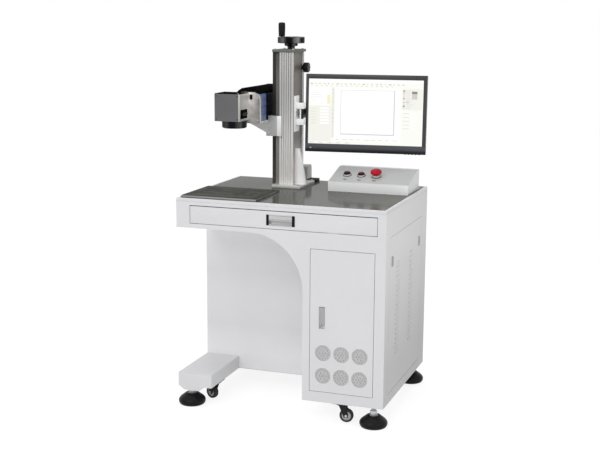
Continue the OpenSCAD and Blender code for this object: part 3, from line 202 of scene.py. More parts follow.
def surface(name, colour, rough=0.5, metal=0.0, vary=0.04, vary_scale=6.0, grain=900, bump=0.08,
            stretch=(1, 1, 1), ior=1.45, rough_vary=0.04, fade=None, fade_too=None, painted_glint_gain=0.0):
    """A finish with slow colour variation, uneven gloss and a fine grain in its relief, with painted light
    and shade and a painted glint where asked. A fade paints light and shade: it is an axis, two places along
    it in metres and the share of the colour at each."""
    mat, nt, bsdf = tree_of(name)
    low = tuple(c * (1 - vary) for c in colour)
    high = tuple(min(1.0, c * (1 + vary)) for c in colour)
    tone = ramp(nt, noise(nt, vary_scale, 4.0), low, high)
    for run in (fade, fade_too):
        if run:
            tone = scaled(nt, tone, map_range(nt, place_of(nt)[run[0]], *run[1:]))
    if painted_glint_gain > 0:
        both = nt.nodes.new("ShaderNodeVectorMath")
        both.operation = "ADD"
        nt.links.new(tone, both.inputs[0])
        nt.links.new(painted_glint(nt, painted_glint_gain), both.inputs[1])
        tone = both.outputs["Vector"]
    nt.links.new(tone, bsdf.inputs["Base Color"])
    fine = noise(nt, grain, 2.0, stretch)
    gloss = map_range(nt, fine, NOISE_LOW, NOISE_HIGH, max(LEAST_ROUGH, rough - rough_vary),
                      min(1.0, rough + rough_vary))
    nt.links.new(gloss, bsdf.inputs["Roughness"])
    relief = nt.nodes.new("ShaderNodeBump")
    fill(relief, {"Strength": bump, "Distance": GRAIN_DEPTH})
    nt.links.new(fine, relief.inputs["Height"])
    nt.links.new(relief.outputs["Normal"], bsdf.inputs["Normal"])
    fill(bsdf, {"Metallic": metal, "IOR": ior})
    return mat


def powder(name, colour, bump=0.12, **more):
    """Powder coated sheet metal."""
    return surface(name, colour, 0.42, vary=0.015, grain=1400, bump=bump, ior=1.4, **more)


# The grain of metal that is drawn out along Z, and the height of the column's foot
DRAWN = (14, 14, 0.4)
COLUMN_FOOT = 0.797

# Materials
WHITE = powder("powder_coat_white", (0.72, 0.72, 0.735))
# Painted light on the side sheets: darker low down and towards the back
SIDE_PAINTED_LIGHT = powder("powder_coat_side_painted_light", (0.72, 0.72, 0.73), fade=(ALONG_Z, 0.2, 0.62, 0.69, 1.02),
              fade_too=(ALONG_Y, -0.29, 0.29, 1.04, 0.92))
# Painted light on the knee panel: brighter at its top and towards its foot
KNEE_PAINTED_LIGHT = powder("powder_coat_knee_painted_light", (0.72, 0.72, 0.73), fade=(ALONG_Z, 0.46, 0.6, 1.04, 1.25),
              fade_too=(ALONG_Z, 0.14, 0.25, 1.16, 1.0))
VENT_DISC = surface("vent_disc", (0.6, 0.575, 0.57), 0.5, vary=0.02, grain=1200, bump=0.1, ior=1.4)
# Painted reflection on the table: darker at the left, lighter at the right
TABLE_PAINTED_REFLECTION = surface("table_glossy_grey_painted_reflection", (0.13, 0.13, 0.12), 0.08, vary=0.03, grain=300, bump=0.01, ior=1.06,
                rough_vary=0.02, fade=(ALONG_X, -0.25, 0.35, 0.58, 1.0))
PLATE = surface("work_plate_anodised", (0.044, 0.044, 0.037), 0.55, vary=0.08, vary_scale=14, grain=700,
                bump=0.2, stretch=(1, 12, 1), ior=1.12)
BARE = surface("bare_aluminium", (0.3, 0.3, 0.295), 0.32, 1.0, 0.05, grain=500, bump=0.1,
               stretch=(1, 14, 1))
# Column tones, all brighter towards the column's foot: painted light. The left strip's darkness and the
# groove faces' slight darkening are painted shade
COLUMN_PAINTED_LIGHT = surface("column_anodised_painted_light", (0.39, 0.387, 0.38), 0.45, 0.2, 0.03, stretch=DRAWN, ior=1.8,
                 fade=(ALONG_Z, COLUMN_FOOT, 1.16, 2.45, 1.0))
COLUMN_GROOVE_PAINTED_SHADE = surface("column_groove_painted_shade_and_light", (0.385, 0.382, 0.375), 0.5, 0.1, 0.03, stretch=DRAWN, ior=1.8,
                        fade=(ALONG_Z, COLUMN_FOOT, 1.16, 2.45, 1.0))
CARRIAGE = surface("carriage_satin", (0.5, 0.497, 0.488), 0.45, 0.2, 0.04)
# The carriage's part in front of the column, in a lighter tone
CARRIAGE_EDGE = surface("carriage_light_front_lap", (0.86, 0.855, 0.84), 0.42, 0.2, 0.02, bump=0.06)
COLUMN_SLOT_PAINTED_LIGHT = surface("column_slot_black_painted_light", (0.024, 0.023, 0.021), 0.45, 0.1, 0.1, ior=1.25,
                       fade=(ALONG_Z, COLUMN_FOOT, 0.92, 4.2, 1.1))
COLUMN_STRIP_PAINTED_SHADE = surface("column_left_strip_painted_shade_and_light", (0.085, 0.082, 0.078), 0.45, 0.2, 0.08, bump=0.1, stretch=DRAWN,
                      ior=1.3, fade=(ALONG_Z, COLUMN_FOOT, 1.24, 4.0, 1.0))
COLUMN_RECESS_PAINTED_LIGHT = surface("column_recess_painted_light", (0.185, 0.168, 0.148), 0.45, 0.2, 0.07, bump=0.1, stretch=DRAWN,
                      ior=1.3, fade=(ALONG_Z, 0.865, 0.96, 3.3, 1.0))
CAST = surface("cast_grey_paint", (0.64, 0.64, 0.63), 0.45, 0.15, 0.03, grain=800, bump=0.22, ior=1.4)
# Painted light on the head: its front brighter towards the bottom, its right side brighter towards the back
HEAD_FRONT_PAINTED_LIGHT = surface("head_front_brushed_painted_light", (0.112, 0.112, 0.116), 0.42, 0.2, 0.05, grain=800, bump=0.12,
                     stretch=(0.4, 8, 14), ior=1.35, fade=(ALONG_Z, 1.04, 1.13, 1.25, 0.95))
HEAD_SIDE_PAINTED_LIGHT = surface("head_side_satin_painted_light", (0.46, 0.448, 0.425), 0.38, 0.4, 0.08, vary_scale=20, grain=800,
                    bump=0.12, stretch=(8, 0.4, 14), fade=(ALONG_Y, -0.12, -0.028, 1.0, 1.7))
HEAD_EDGE = surface("head_bright_corner", (0.5, 0.495, 0.475), 0.3, 0.3, 0.02, grain=800, bump=0.05)
BRIGHT = surface("bright_chamfer", (0.85, 0.84, 0.8), 0.25, 0.6, 0.02, grain=800, bump=0.05)
# Painted light on the front end plate: brighter towards its left, next to the head
END_PLATE_PAINTED_LIGHT = surface("end_plate_satin_painted_light", (0.26, 0.25, 0.24), 0.4, 0.25, 0.26, vary_scale=34, grain=700,
                 bump=0.14, stretch=(10, 1, 1), ior=1.3, fade=(ALONG_X, -0.216, -0.18, 2.9, 1.0))
REAR_PLATE = surface("rear_plate_satin", (0.5, 0.49, 0.475), 0.4, 0.25, 0.05, grain=700, bump=0.12,
                     stretch=(10, 1, 1), ior=1.3)
BLUE = surface("laser_blue_anodised", (0.165, 0.225, 0.42), 0.34, 0.35, 0.06, stretch=(1, 0.4, 10))
NAVY = surface("laser_navy_anodised", (0.004, 0.007, 0.018), 0.42, 0.1, 0.1, ior=1.08)
BLACK = surface("black_plastic", (0.01, 0.01, 0.01), 0.5, vary=0.12, bump=0.3, ior=1.12)
BLACK_MATT = surface("black_matt_finish", (0.005, 0.005, 0.0055), 0.7, vary=0.12, bump=0.2, ior=1.02)
# Lit and shaded copies of the cap's grey: painted light on its top, painted shade on its sides
CAP_TOP_PAINTED_LIGHT = surface("cap_top_grey_painted_light", (0.27, 0.275, 0.26), 0.5, 0.0, 0.06, bump=0.1, ior=1.06)
CAP_SIDE_PAINTED_SHADE = surface("cap_side_grey_painted_shade", (0.16, 0.165, 0.15), 0.5, 0.0, 0.06, bump=0.1, ior=1.2)
# Painted reflection of the dark red cap on the top of the button rings
RING_TOP_PAINTED_REFLECTION = surface("ring_top_painted_reflection", (0.03, 0.012, 0.014), 0.2, 0.0, 0.06, grain=600, bump=0.02, ior=1.2)
# A brighter white: the own white of the bracket, gussets and hinge, and painted light on the console's front
# lip
WHITE_AND_LIP_PAINTED_LIGHT = powder("bright_white_and_lip_painted_light", (0.95, 0.95, 0.955), bump=0.1)
# Glossy blacks of the lens barrel and the hand wheel, with a painted glint
BLACK_GLOSS_PAINTED_GLINT = surface("black_gloss_plastic_painted_glint", (0.006, 0.0065, 0.0075), 0.16, vary=0.1, grain=600, bump=0.02,
                      ior=1.1, painted_glint_gain=0.36)
RIM_PAINTED_GLINT = surface("hand_wheel_gloss_painted_glint", (0.004, 0.004, 0.004), 0.2, vary=0.1, grain=600, bump=0.02, ior=1.05,
                    painted_glint_gain=0.9)
LATCH = surface("latch_satin", (0.4, 0.4, 0.4), 0.4, 0.2, 0.06, grain=800, bump=0.12)
LATCH_CUP = surface("latch_cup_satin", (0.78, 0.78, 0.78), 0.4, 0.1, 0.05, grain=800, bump=0.12)
BLACK_METAL = surface("black_painted_steel", (0.012, 0.012, 0.013), 0.38, 0.0, 0.12, grain=800, bump=0.12,
                      ior=1.27)
RUBBER = surface("tyre_rubber", (0.022, 0.022, 0.023), 0.72, vary=0.15, grain=700, bump=0.4)
HUB = surface("caster_hub_grey", (0.45, 0.45, 0.45), 0.4, 0.2, 0.05, grain=700, bump=0.1)
ZINC = surface("zinc_plate", (0.55, 0.56, 0.57), 0.32, 0.85, 0.06, grain=500, bump=0.1)
DIE_CAST = surface("die_cast_zinc", (0.33, 0.33, 0.33), 0.38, 0.6, 0.07, grain=800, bump=0.16)
CHROME = surface("polished_ring", (0.9, 0.9, 0.9), 0.2, 0.55, 0.03, grain=500, bump=0.02)
# Painted shade on the emergency stop: darker towards its top
STOP_RED_PAINTED_SHADE = surface("stop_red", (0.56, 0.012, 0.03), 0.34, vary=0.05, grain=600, bump=0.04, ior=1.2,
                   fade=(ALONG_Z, 0.843, 0.858, 1.0, 0.6))
BUTTON_RED = surface("button_red", (0.075, 0.004, 0.01), 0.22, vary=0.08, grain=600, bump=0.02, ior=1.22)
BUTTON_DARK = surface("button_dark", (0.03, 0.004, 0.008), 0.22, vary=0.08, grain=600, bump=0.02, ior=1.22)
DUCT = surface("duct_grey", (0.36, 0.365, 0.34), 0.42, 0.3, 0.05, grain=800, bump=0.15)
BOX_GREY = surface("equipment_grey", (0.16, 0.17, 0.185), 0.45, vary=0.05, bump=0.2)
BLACK_SATIN = surface("black_satin_plastic", (0.011, 0.011, 0.012), 0.3, vary=0.12, grain=700, ior=1.2)
BASE_GREY = surface("column_base_grey", (0.6, 0.595, 0.58), 0.42, 0.3, 0.04, grain=800, bump=0.12)
PULL_ALU = surface("pull_satin_aluminium", (0.52, 0.52, 0.52), 0.36, 0.5, 0.04, grain=700, stretch=(1, 8, 14))
BEZEL = surface("bezel_dark_grey", (0.024, 0.025, 0.027), 0.35, vary=0.08, grain=800)
# Painted reflection on the right side faces of the monitor housing
BEZEL_SIDE_PAINTED_REFLECTION = surface("bezel_right_painted_reflection", (0.26, 0.265, 0.27), 0.35, vary=0.06, grain=800, bump=0.06)
# The chin's dark gloss, with a painted reflection that brightens it towards its top
BEZEL_CHIN_PAINTED_REFLECTION = surface("bezel_chin_gloss_painted_reflection", (0.0135, 0.014, 0.016), 0.2, vary=0.08, grain=600, bump=0.01,
                    ior=1.25, fade=(ALONG_Z, 0.919, 0.929, 1.0, 6.0))
BEZEL_SPOT = surface("bezel_spot", (0.42, 0.44, 0.48), 0.3, vary=0.05, grain=600, bump=0.02)
CONSOLE_TOP = surface("console_slope_grey", (0.5, 0.51, 0.505), 0.45, vary=0.02, grain=1200, bump=0.12,
                      ior=1.4)
COLLAR = surface("stop_collar", (0.62, 0.6, 0.58), 0.35, vary=0.03, grain=800, bump=0.05)
ZINC_PALE = surface("zinc_pale", (0.6, 0.61, 0.62), 0.36, 0.6, 0.05, grain=500, bump=0.1)
INK_LINE = surface("dark_gap_line", (0.02, 0.02, 0.022), 0.6, vary=0.1, bump=0.1)

# The door's vents: place of the first one, the steps to the next, their counts and sizes in millimetres
VENT_X, VENT_Z = 169, 173
VENT_DX, VENT_DZ = 67, 83
VENT_COLUMNS, VENT_ROWS = 3, 2
VENT_R, DOT_R, DOT_HALF_STEP = 29.3, 1.15, 1.9
VENT_SHADE, DOT_SHADE = 0.15, 0.42


def vented(mat):
    """Fine perforation over the door's six vents, painted over the paint of mat."""
    nt = mat.node_tree
    bsdf = nt.nodes["Principled BSDF"]
    paint_tone = bsdf.inputs["Base Color"].links[0].from_socket
    place = place_of(nt)

    def wrap(value, half_mm):
        return calc(nt, "WRAP", value, half_mm * MM, -half_mm * MM)

    def nearer(a, b, r_mm):
        squares = calc(nt, "ADD", calc(nt, "MULTIPLY", a, a), calc(nt, "MULTIPLY", b, b))
        return calc(nt, "LESS_THAN", calc(nt, "SQRT", squares), r_mm * MM)

    offsets, bands = [], []
    for axis, first, step, count in ((ALONG_X, VENT_X, VENT_DX, VENT_COLUMNS),
                                     (ALONG_Z, VENT_Z, VENT_DZ, VENT_ROWS)):
        middle = (first + step * (count - 1) / 2) * MM
        away = calc(nt, "ABSOLUTE", calc(nt, "SUBTRACT", place[axis], middle))
        bands.append(calc(nt, "LESS_THAN", away, step * count / 2 * MM))
        offsets.append(wrap(calc(nt, "SUBTRACT", place[axis], first * MM), step / 2))
    u, v = offsets
    inside = calc(nt, "MULTIPLY", nearer(u, v, VENT_R), calc(nt, "MULTIPLY", *bands))
    dots = nearer(wrap(u, DOT_HALF_STEP), wrap(v, DOT_HALF_STEP), DOT_R)
    shade = calc(nt, "ADD", VENT_SHADE, calc(nt, "MULTIPLY", dots, DOT_SHADE))
    share = calc(nt, "SUBTRACT", 1.0, calc(nt, "MULTIPLY", inside, shade))
    nt.links.new(scaled(nt, paint_tone, share), bsdf.inputs["Base Color"])
    return mat


DOOR = vented(powder("powder_coat_door", (0.72, 0.715, 0.728)))

# The least share of a backlight, and the colour of a screen that is off
BACKLIGHT_LOW = 0.985
SCREEN_OFF = (0.02, 0.02, 0.02, 1)


def lit(name, colour):
    """A lit patch of the screen, with the faint unevenness of a backlight."""
    mat, nt, bsdf = tree_of(name)
    tint = ramp(nt, noise(nt, 5.0, 1.0), tuple(c * BACKLIGHT_LOW for c in colour), colour)
    nt.links.new(tint, bsdf.inputs["Emission Color"])
    fill(bsdf, {"Emission Strength": 1.0, "Base Color": SCREEN_OFF, "Roughness": 0.3})
    return mat


# The tones of the screen's picture, and their numbers in it
SCREEN = [lit("screen_" + name, colour) for name, colour in (
    ("base", (0.93, 0.93, 0.88)), ("white", (0.985, 0.985, 0.985)), ("grey", (0.7, 0.69, 0.68)),
    ("tick", (0.7, 0.69, 0.64)), ("shade", (0.62, 0.6, 0.64)), ("yellow", (0.86, 0.84, 0.55)),
    ("dark", (0.24, 0.22, 0.2)), ("side", (0.86, 0.86, 0.8)), ("tool", (0.8, 0.8, 0.74)),
    ("mid_grey", (0.58, 0.58, 0.56)), ("red", (0.66, 0.3, 0.28)))]
S_BASE, S_WHITE, S_GREY, S_TICK, S_SHADE, S_YELLOW, S_DARK, S_SIDE, S_TOOL, S_MID, S_RED = range(len(SCREEN))


def lens_glass():
    """Coated glass that shifts between blue and violet."""
    mat, nt, bsdf = tree_of("lens_glass")
    tint = ramp(nt, noise(nt, 30.0, 1.0), (0.1, 0.16, 0.3), (0.14, 0.1, 0.26))
    nt.links.new(tint, bsdf.inputs["Base Color"])
    fill(bsdf, {"Roughness": 0.04, "Coat Weight": 1.0, "Coat Roughness": 0.02})
    return mat


GLASS = lens_glass()

# Steps of a rounded edge, the angle of a prism's sharp edges, and the limits for welding and flattening
ROUND_STEPS = 2
PRISM_SHARP = 0.35
WELD = 1e-6
FLAT = math.radians(0.5)


# Mesh helpers, all in the frame of the CAD nodes and in metres
def mm(*values):
    """A place that is given in millimetres."""
    return Vector(v * MM for v in values)


def aim(pos, axis):
    """A matrix that stands Z along axis at pos."""
    turn = Vector(axis).normalized().to_track_quat("Z", "Y").to_matrix().to_4x4()
    return Matrix.Translation(Vector(pos)) @ turn


def finish_piece(name, bm, body, mats, replaces=(), smooth=35):
    """An object of the mesh bm, with its body and the nodes that it stands for."""
    bmesh.ops.recalc_face_normals(bm, faces=bm.faces)
    mesh = bpy.data.meshes.new(name)
    bm.to_mesh(mesh)
    bm.free()
    for m in mats:
        mesh.materials.append(m)
    obj = bpy.data.objects.new(name, mesh)
    bpy.context.scene.collection.objects.link(obj)
    if smooth:
        mesh.shade_smooth()
        mesh.set_sharp_from_angle(angle=math.radians(smooth))
    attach(obj, body)
    if replaces:
        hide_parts(*replaces)


def join(bm, part, matrix, mat_index):
    """Adds the mesh of part to bm, moved by matrix, and frees part."""
    if matrix is not None:
        bmesh.ops.transform(part, matrix=matrix, verts=part.verts)
    for f in part.faces:
        f.material_index = mat_index
    mesh = bpy.data.meshes.new("scratch")
    part.to_mesh(mesh)
    part.free()
    bm.from_mesh(mesh)
    bpy.data.meshes.remove(mesh)


def piece(name, parts, body, mats, replaces=(), smooth=35):
    """One piece from several meshes: each part is a mesh, a matrix or None, and a material's number."""
    bm = bmesh.new()
    for part, matrix, index in parts:
        join(bm, part, matrix, index)
    finish_piece(name, bm, body, mats, replaces, smooth)


def bevel(bm, edges, width, steps=ROUND_STEPS, clamp=False):
    bmesh.ops.bevel(bm, geom=edges, offset=width, offset_type="OFFSET", segments=steps, profile=0.5,
                    affect="EDGES", clamp_overlap=clamp)


def sharp_edges(bm, angle):
    return [e for e in bm.edges if len(e.link_faces) == 2 and e.calc_face_angle() > angle]


def block(lo, hi, r=0.0):
    """A box between two corners, with its edges rounded by r."""
    bm = bmesh.new()
    bmesh.ops.create_cube(bm, size=1)
    lo, hi = Vector(lo), Vector(hi)
    size, mid = hi - lo, (lo + hi) / 2
    for v in bm.verts:
        v.co = Vector(v.co[i] * size[i] + mid[i] for i in range(3))
    if r > 0:
        bevel(bm, bm.edges[:], r)
    return bm


def prism(points, depth, r):
    """An outline in X and Y, raised by depth along Z, with its edges rounded by r."""
    bm = bmesh.new()
    face = bm.faces.new([bm.verts.new((x, y, 0)) for x, y in points])
    out = bmesh.ops.extrude_face_region(bm, geom=[face])
    top = [g for g in out["geom"] if isinstance(g, bmesh.types.BMVert)]
    bmesh.ops.translate(bm, verts=top, vec=(0, 0, depth))
    bmesh.ops.recalc_face_normals(bm, faces=bm.faces)
    bevel(bm, sharp_edges(bm, PRISM_SHARP), r)
    return bm


def lathe(profile, steps):
    """Points of radius and height, turned round Z. The ends are closed where their radius is 0."""
    bm = bmesh.new()
    rings = []
    for r, z in profile:
        if r < WELD:
            rings.append([bm.verts.new((0, 0, z))])
        else:
            rings.append([bm.verts.new((r * math.cos(2 * math.pi * i / steps),
                                        r * math.sin(2 * math.pi * i / steps), z)) for i in range(steps)])
    for a, b in zip(rings, rings[1:]):
        for i in range(steps):
            j = (i + 1) % steps
            if len(a) == 1 and len(b) == 1:
                continue
            if len(a) == 1:
                bm.faces.new((a[0], b[j], b[i]))
            elif len(b) == 1:
                bm.faces.new((a[i], a[j], b[0]))
            else:
                bm.faces.new((a[i], a[j], b[j], b[i]))
    return bm


def rod(r, low, high, steps):
    """A round bar between two heights."""
    return lathe([(0, low), (r, low), (r, high), (0, high)], steps)


def ring(inner, outer, high, steps):
    """A flat ring that stands on Z 0."""
    return lathe([(inner, 0), (outer, 0), (outer, high), (inner, high), (inner, 0)], steps)


def hex_nut(r, h):
    return lathe([(r * 0.5, 0), (r * 0.93, 0), (r, h * 0.12), (r, h * 0.88), (r * 0.93, h), (r * 0.5, h),
                  (r * 0.5, 0)], 6)


def thread(r, z0, z1, pitch):
    """A threaded rod as a row of ridges without a helix."""
    profile = [(0, z0)]
    z = z0
    while z < z1 - pitch * 0.6:
        profile += [(r * 0.9, z), (r, z + pitch * 0.5)]
        z += pitch
    profile += [(r * 0.9, z1), (0, z1)]
    return lathe(profile, 24)


def pan_screw(r, h):
    """A pan head screw, domed and plain."""
    return lathe([(0, h), (r * 0.45, h * 0.96), (r * 0.8, h * 0.7), (r, h * 0.25), (r, 0), (0, 0)], 20)


def screws(name, places, axis, r, h, body, mat):
    """Socket head screws as one piece, each a chamfered head with a round recess."""
    s = r * 0.55
    d = h * 0.55
    profile = [(0, h - d), (s, h - d), (s, h), (r * 0.9, h), (r, h * 0.85), (r, 0), (0, 0)]
    piece(name, [(lathe(profile, 24), aim(p, axis), 0) for p in places], body, [mat])


def rounded(node, width, steps=ROUND_STEPS, angle=25):
    """The mesh of a CAD node with its sharp edges rounded by width."""
    bm = bmesh.new()
    bm.from_mesh(nodes[node].data)
    bmesh.ops.remove_doubles(bm, verts=bm.verts, dist=WELD)
    bmesh.ops.dissolve_limit(bm, angle_limit=FLAT, verts=bm.verts, edges=bm.edges)
    bevel(bm, sharp_edges(bm, math.radians(angle)), width, steps, clamp=True)
    return bm


def soften(node, width, mat, angle=25):
    """A copy of a CAD node with rounded edges, which stands for it."""
    finish_piece(node + "_soft", rounded(node, width, angle=angle), body_of(nodes[node])[0], [mat],
                 (node,))


def split_copy(node, width, mats, pick, cuts=(), steps=ROUND_STEPS):
    """A softened copy with several materials. The cuts are planes, along which the material can change,
    and pick gives the material's number from a face's middle in millimetres and its normal."""
    bm = rounded(node, width, steps)
    for co, no in cuts:
        bmesh.ops.bisect_plane(bm, geom=bm.verts[:] + bm.edges[:] + bm.faces[:], plane_co=co, plane_no=no,
                               dist=WELD)
    for f in bm.faces:
        f.material_index = pick(f.calc_center_median() / MM, f.normal)
    finish_piece(node + "_soft", bm, body_of(nodes[node])[0], mats, (node,))


def paint(mat, *names):
    for n in names:
        nodes[n].data.materials.clear()
        nodes[n].data.materials.append(mat)


# Cabinet sheets stay plain CAD nodes, and the parts with a visible edge get a softened copy
paint(WHITE, "front_frame", "side_left", "arch_liner", "floor_pan", "rear_panel")
paint(SIDE_PAINTED_LIGHT, "side_right", "side_panel")
paint(KNEE_PAINTED_LIGHT, "knee_panel")
paint(DOOR, "door_panel")
paint(ZINC, "drawer_tray", "runners_fixed", "runners_moving", "lead_screw")
paint(BLACK_METAL, "caster_plates", "computer_case")
paint(BOX_GREY, "laser_source")
paint(TABLE_PAINTED_REFLECTION, "table_insert")
paint(SCREEN[S_BASE], "monitor_screen")
soften("tabletop", 0.0012, WHITE)

# Just inside the four bare edges of the work plate
PLATE_LEFT, PLATE_RIGHT, PLATE_FRONT, PLATE_BACK = -376, -90, -283, -46


def plate_tone(c, n):
    outside = c.x < PLATE_LEFT or c.x > PLATE_RIGHT or c.y < PLATE_FRONT or c.y > PLATE_BACK
    return 1 if outside and abs(n.z) < 0.9 else 0


split_copy("work_plate", 0.0004, [PLATE, BARE], plate_tone)
soften("drawer_front", 0.0008, WHITE)

# Column: dark slot at the left with a strip in painted shade beside it, warm recess at the right, light
# lands, and groove faces a touch darker as painted shade; all brighter towards the foot as painted light
SLOT_RIGHT, STRIP_RIGHT, STRIP_BACK = -153, -136.5, 89.5
RECESS_RIGHT, RECESS_BACK = -79.5, 178.5
GROOVE_LEFT, GROOVE_FRONT, GROOVE_BACK = -136, 80.2, 82
BASE_TOP, BRACKET_TOP = 785.2, 1021
CARRIAGE_CUT, CARRIAGE_BACK = -141, 80


def column_tone(c, n):
    if c.x < STRIP_RIGHT and c.y < STRIP_BACK:
        return 3 if c.x < SLOT_RIGHT else 1
    if n.x > 0.5 and c.y < RECESS_BACK and c.x < RECESS_RIGHT:
        return 2
    if abs(n.y) > 0.5 and GROOVE_FRONT < c.y < GROOVE_BACK and c.x > GROOVE_LEFT:
        return 4
    return 0


split_copy("column_profile", 0.0004, [COLUMN_PAINTED_LIGHT, COLUMN_STRIP_PAINTED_SHADE, COLUMN_RECESS_PAINTED_LIGHT, COLUMN_SLOT_PAINTED_LIGHT, COLUMN_GROOVE_PAINTED_SHADE],
           column_tone, [(mm(SLOT_RIGHT, 0, 0), TO_RIGHT)])
split_copy("column_base", 0.0007, [BASE_GREY, WHITE_AND_LIP_PAINTED_LIGHT],
           lambda c, n: 1 if c.z > BASE_TOP else 0)
# The cap's top in painted light, its sides in painted shade
split_copy("column_cap", 0.0009, [CAP_TOP_PAINTED_LIGHT, CAP_SIDE_PAINTED_SHADE], lambda c, n: 1 if n.z < 0.7 else 0)
screws("cap_screws", [mm(x, y, 1293) for x in (-157, -84) for y in (84, 190)], TO_TOP, 0.0045, 0.003,
       "cabinet", ZINC)
screws("base_screws", [mm(x, y, 785) for x in (-146, -52) for y in (60, 212)], TO_TOP, 0.0055, 0.004,
       "cabinet", ZINC)
split_copy("carriage", 0.0007, [CARRIAGE, CARRIAGE_EDGE],
           lambda c, n: 1 if c.x > CARRIAGE_CUT and c.y < CARRIAGE_BACK else 0,
           [(mm(CARRIAGE_CUT, 0, 0), TO_RIGHT)])
split_copy("laser_bracket", 0.0009, [CAST, BRIGHT],
           lambda c, n: 1 if n.x > 0.7 and c.z > BRACKET_TOP else 0)
screws("bracket_screws", [mm(-172, 66, z) for z in (982, 1008)], TO_FRONT, 0.0042, 0.003,
       "carriage", ZINC)

# Hand wheel with its nut, the grip of its crank, and the clamp knob
soften("handwheel", 0.0006, RIM_PAINTED_GLINT, angle=20)
piece("wheel_nut", [(hex_nut(0.0085, 0.006), aim(mm(-111.5, 137, 1333), TO_TOP), 0),
                    (thread(0.0045, 0, 0.009, 0.001), aim(mm(-111.5, 137, 1332.5), TO_TOP), 0)],
      "handwheel", [ZINC])
GRIP_AT = aim(mm(-149, 137, 1340), TO_TOP)
GRIP_PROFILE = [(0.0041, 0), (0.0114, 0), (0.0119, 0.001), (0.0122, 0.005), (0.0126, 0.016), (0.013, 0.028),
                (0.0131, 0.038), (0.0129, 0.045), (0.0119, 0.0495), (0.0095, 0.0515), (0.0, 0.052),
                (0.0, 0.05), (0.0041, 0.05), (0.0041, 0)]
piece("grip_sleeve", [(lathe(GRIP_PROFILE, 56), GRIP_AT, 0), (rod(0.0035, 0.0518, 0.0522, 24), GRIP_AT, 1)],
      "crank_grip", [BLACK_SATIN, BLACK_METAL], ("crank_grip",))


def lobed(r, dent, lobes, steps=96):
    """A round outline with dents between its lobes."""
    points = []
    for i in range(steps):
        a = 2 * math.pi * i / steps
        here = r - dent * (0.5 - 0.5 * math.cos(lobes * a)) ** 2
        points.append((here * math.cos(a), here * math.sin(a)))
    return points


KNOB_AT = aim(mm(-79.9, 169, 1224), TO_RIGHT)
piece("knob_head", [(prism(lobed(0.0186, 0.0026, 8), 0.0198, 0.0008),
                     KNOB_AT @ Matrix.Translation(mm(0, 0, 9.1)), 0),
                    (lathe([(0, 0), (0.0072, 0), (0.008, 0.0008), (0.008, 0.0095), (0, 0.0095)], 32),
                     KNOB_AT, 0),
                    (lathe([(0, 0.0288), (0.011, 0.0288), (0.0125, 0.0291), (0.013, 0.0288)], 32),
                     KNOB_AT, 1),
                    (rod(0.004, -0.008, 0.001, 20), KNOB_AT, 2)],
      "clamp_knob", [BLACK_SATIN, BLACK_METAL, ZINC], ("clamp_knob",))

# Laser: blue front part, navy rear part, finned black cover, end plates
BLUE_BACK = 49
REAR_FRONT, GLAND_FRONT = 100, 284.2
split_copy("laser_body", 0.0005, [BLUE, NAVY], lambda c, n: 0 if c.y < BLUE_BACK else 1,
           [(mm(0, BLUE_BACK, 0), TO_BACK)])
soften("laser_cover", 0.0004, BLACK_MATT)


def end_tone(c, n):
    if c.y > GLAND_FRONT:
        return 2
    if c.y > REAR_FRONT:
        return 3
    return 1 if n.x > 0.5 else 0


split_copy("laser_ends", 0.0006, [END_PLATE_PAINTED_LIGHT, BRIGHT, BLACK, REAR_PLATE], end_tone)
screws("front_end_screws", [mm(-182, -28, 1036), mm(-182, -28, 1118), mm(-267, -28, 1034)], TO_FRONT,
       0.0032, 0.0018, "carriage", ZINC)
screws("rear_end_screws", [mm(x, 284, z) for x in (-264, -185) for z in (1037, 1128)], TO_BACK,
       0.0032, 0.002, "carriage", ZINC)
piece("end_slot", [(block(mm(-213, -31, 1112), mm(-203, -27.5, 1130), 0.0008), None, 0)],
      "carriage", [BLACK_MATT])
piece("body_joint", [(block(mm(x, 48.6, 1030.6), mm(x + 0.75, 49.4, 1122)), None, 0)
                     for x in (-271.15, -178.6)], "carriage", [INK_LINE])

# Scan head with its lid, connector and lens
LID_LOW = 1135.8
PORT_X = -217.5


def head_tone(c, n):
    if c.z > LID_LOW:
        return 3
    if n.x > 0.5 and n.y < -0.5 and abs(n.z) < 0.3:
        return 2
    return 1 if n.x > 0.8 else 0


split_copy("scan_head", 0.0005, [HEAD_FRONT_PAINTED_LIGHT, HEAD_SIDE_PAINTED_LIGHT, HEAD_EDGE, BLACK_MATT], head_tone)
piece("head_port", [(block(mm(PORT_X - 2.8, -108.5, 1045.6), mm(PORT_X + 1.2, -45.5, 1077.8), 0.0008),
                     None, 0),
                    (block(mm(PORT_X + 0.8, -100, 1048.5), mm(PORT_X + 4.0, -54, 1075), 0.0014), None, 0),
                    (block(mm(PORT_X + 3.8, -95, 1055), mm(PORT_X + 4.3, -59, 1068), 0.0004), None, 1)] +
      [(hex_nut(0.0028, 0.003), aim(mm(PORT_X + 1.0, y, 1062), TO_RIGHT), 1) for y in (-104.2, -49.6)],
      "carriage", [BLACK_MATT, BLACK_METAL])
screws("head_screws", [mm(x, -120, z) for x in (-309, -226) for z in (1044, 1128)], TO_FRONT, 0.002, 0.0008,
       "carriage", BLACK_METAL)
screws("lid_screws", [mm(x, y, 1138) for x in (-309, -226) for y in (-112, -36)], TO_TOP, 0.0026, 0.0012,
       "carriage", ZINC)
LENS_AT = aim(mm(-255.5, -75, 1036), TO_TOP)
BARREL = [(0.03, 0.0049), (0.0299, 0.0), (0.046, 0.0), (0.046, -0.0052), (0.0454, -0.0056),
          (0.0454, -0.0066), (0.046, -0.007), (0.046, -0.0135), (0.0452, -0.014), (0.0452, -0.0152),
          (0.046, -0.0157), (0.046, -0.021), (0.0445, -0.0235), (0.042, -0.0258), (0.0402, -0.026),
          (0.0385, -0.0252), (0.0362, -0.0215), (0.036, -0.019)]
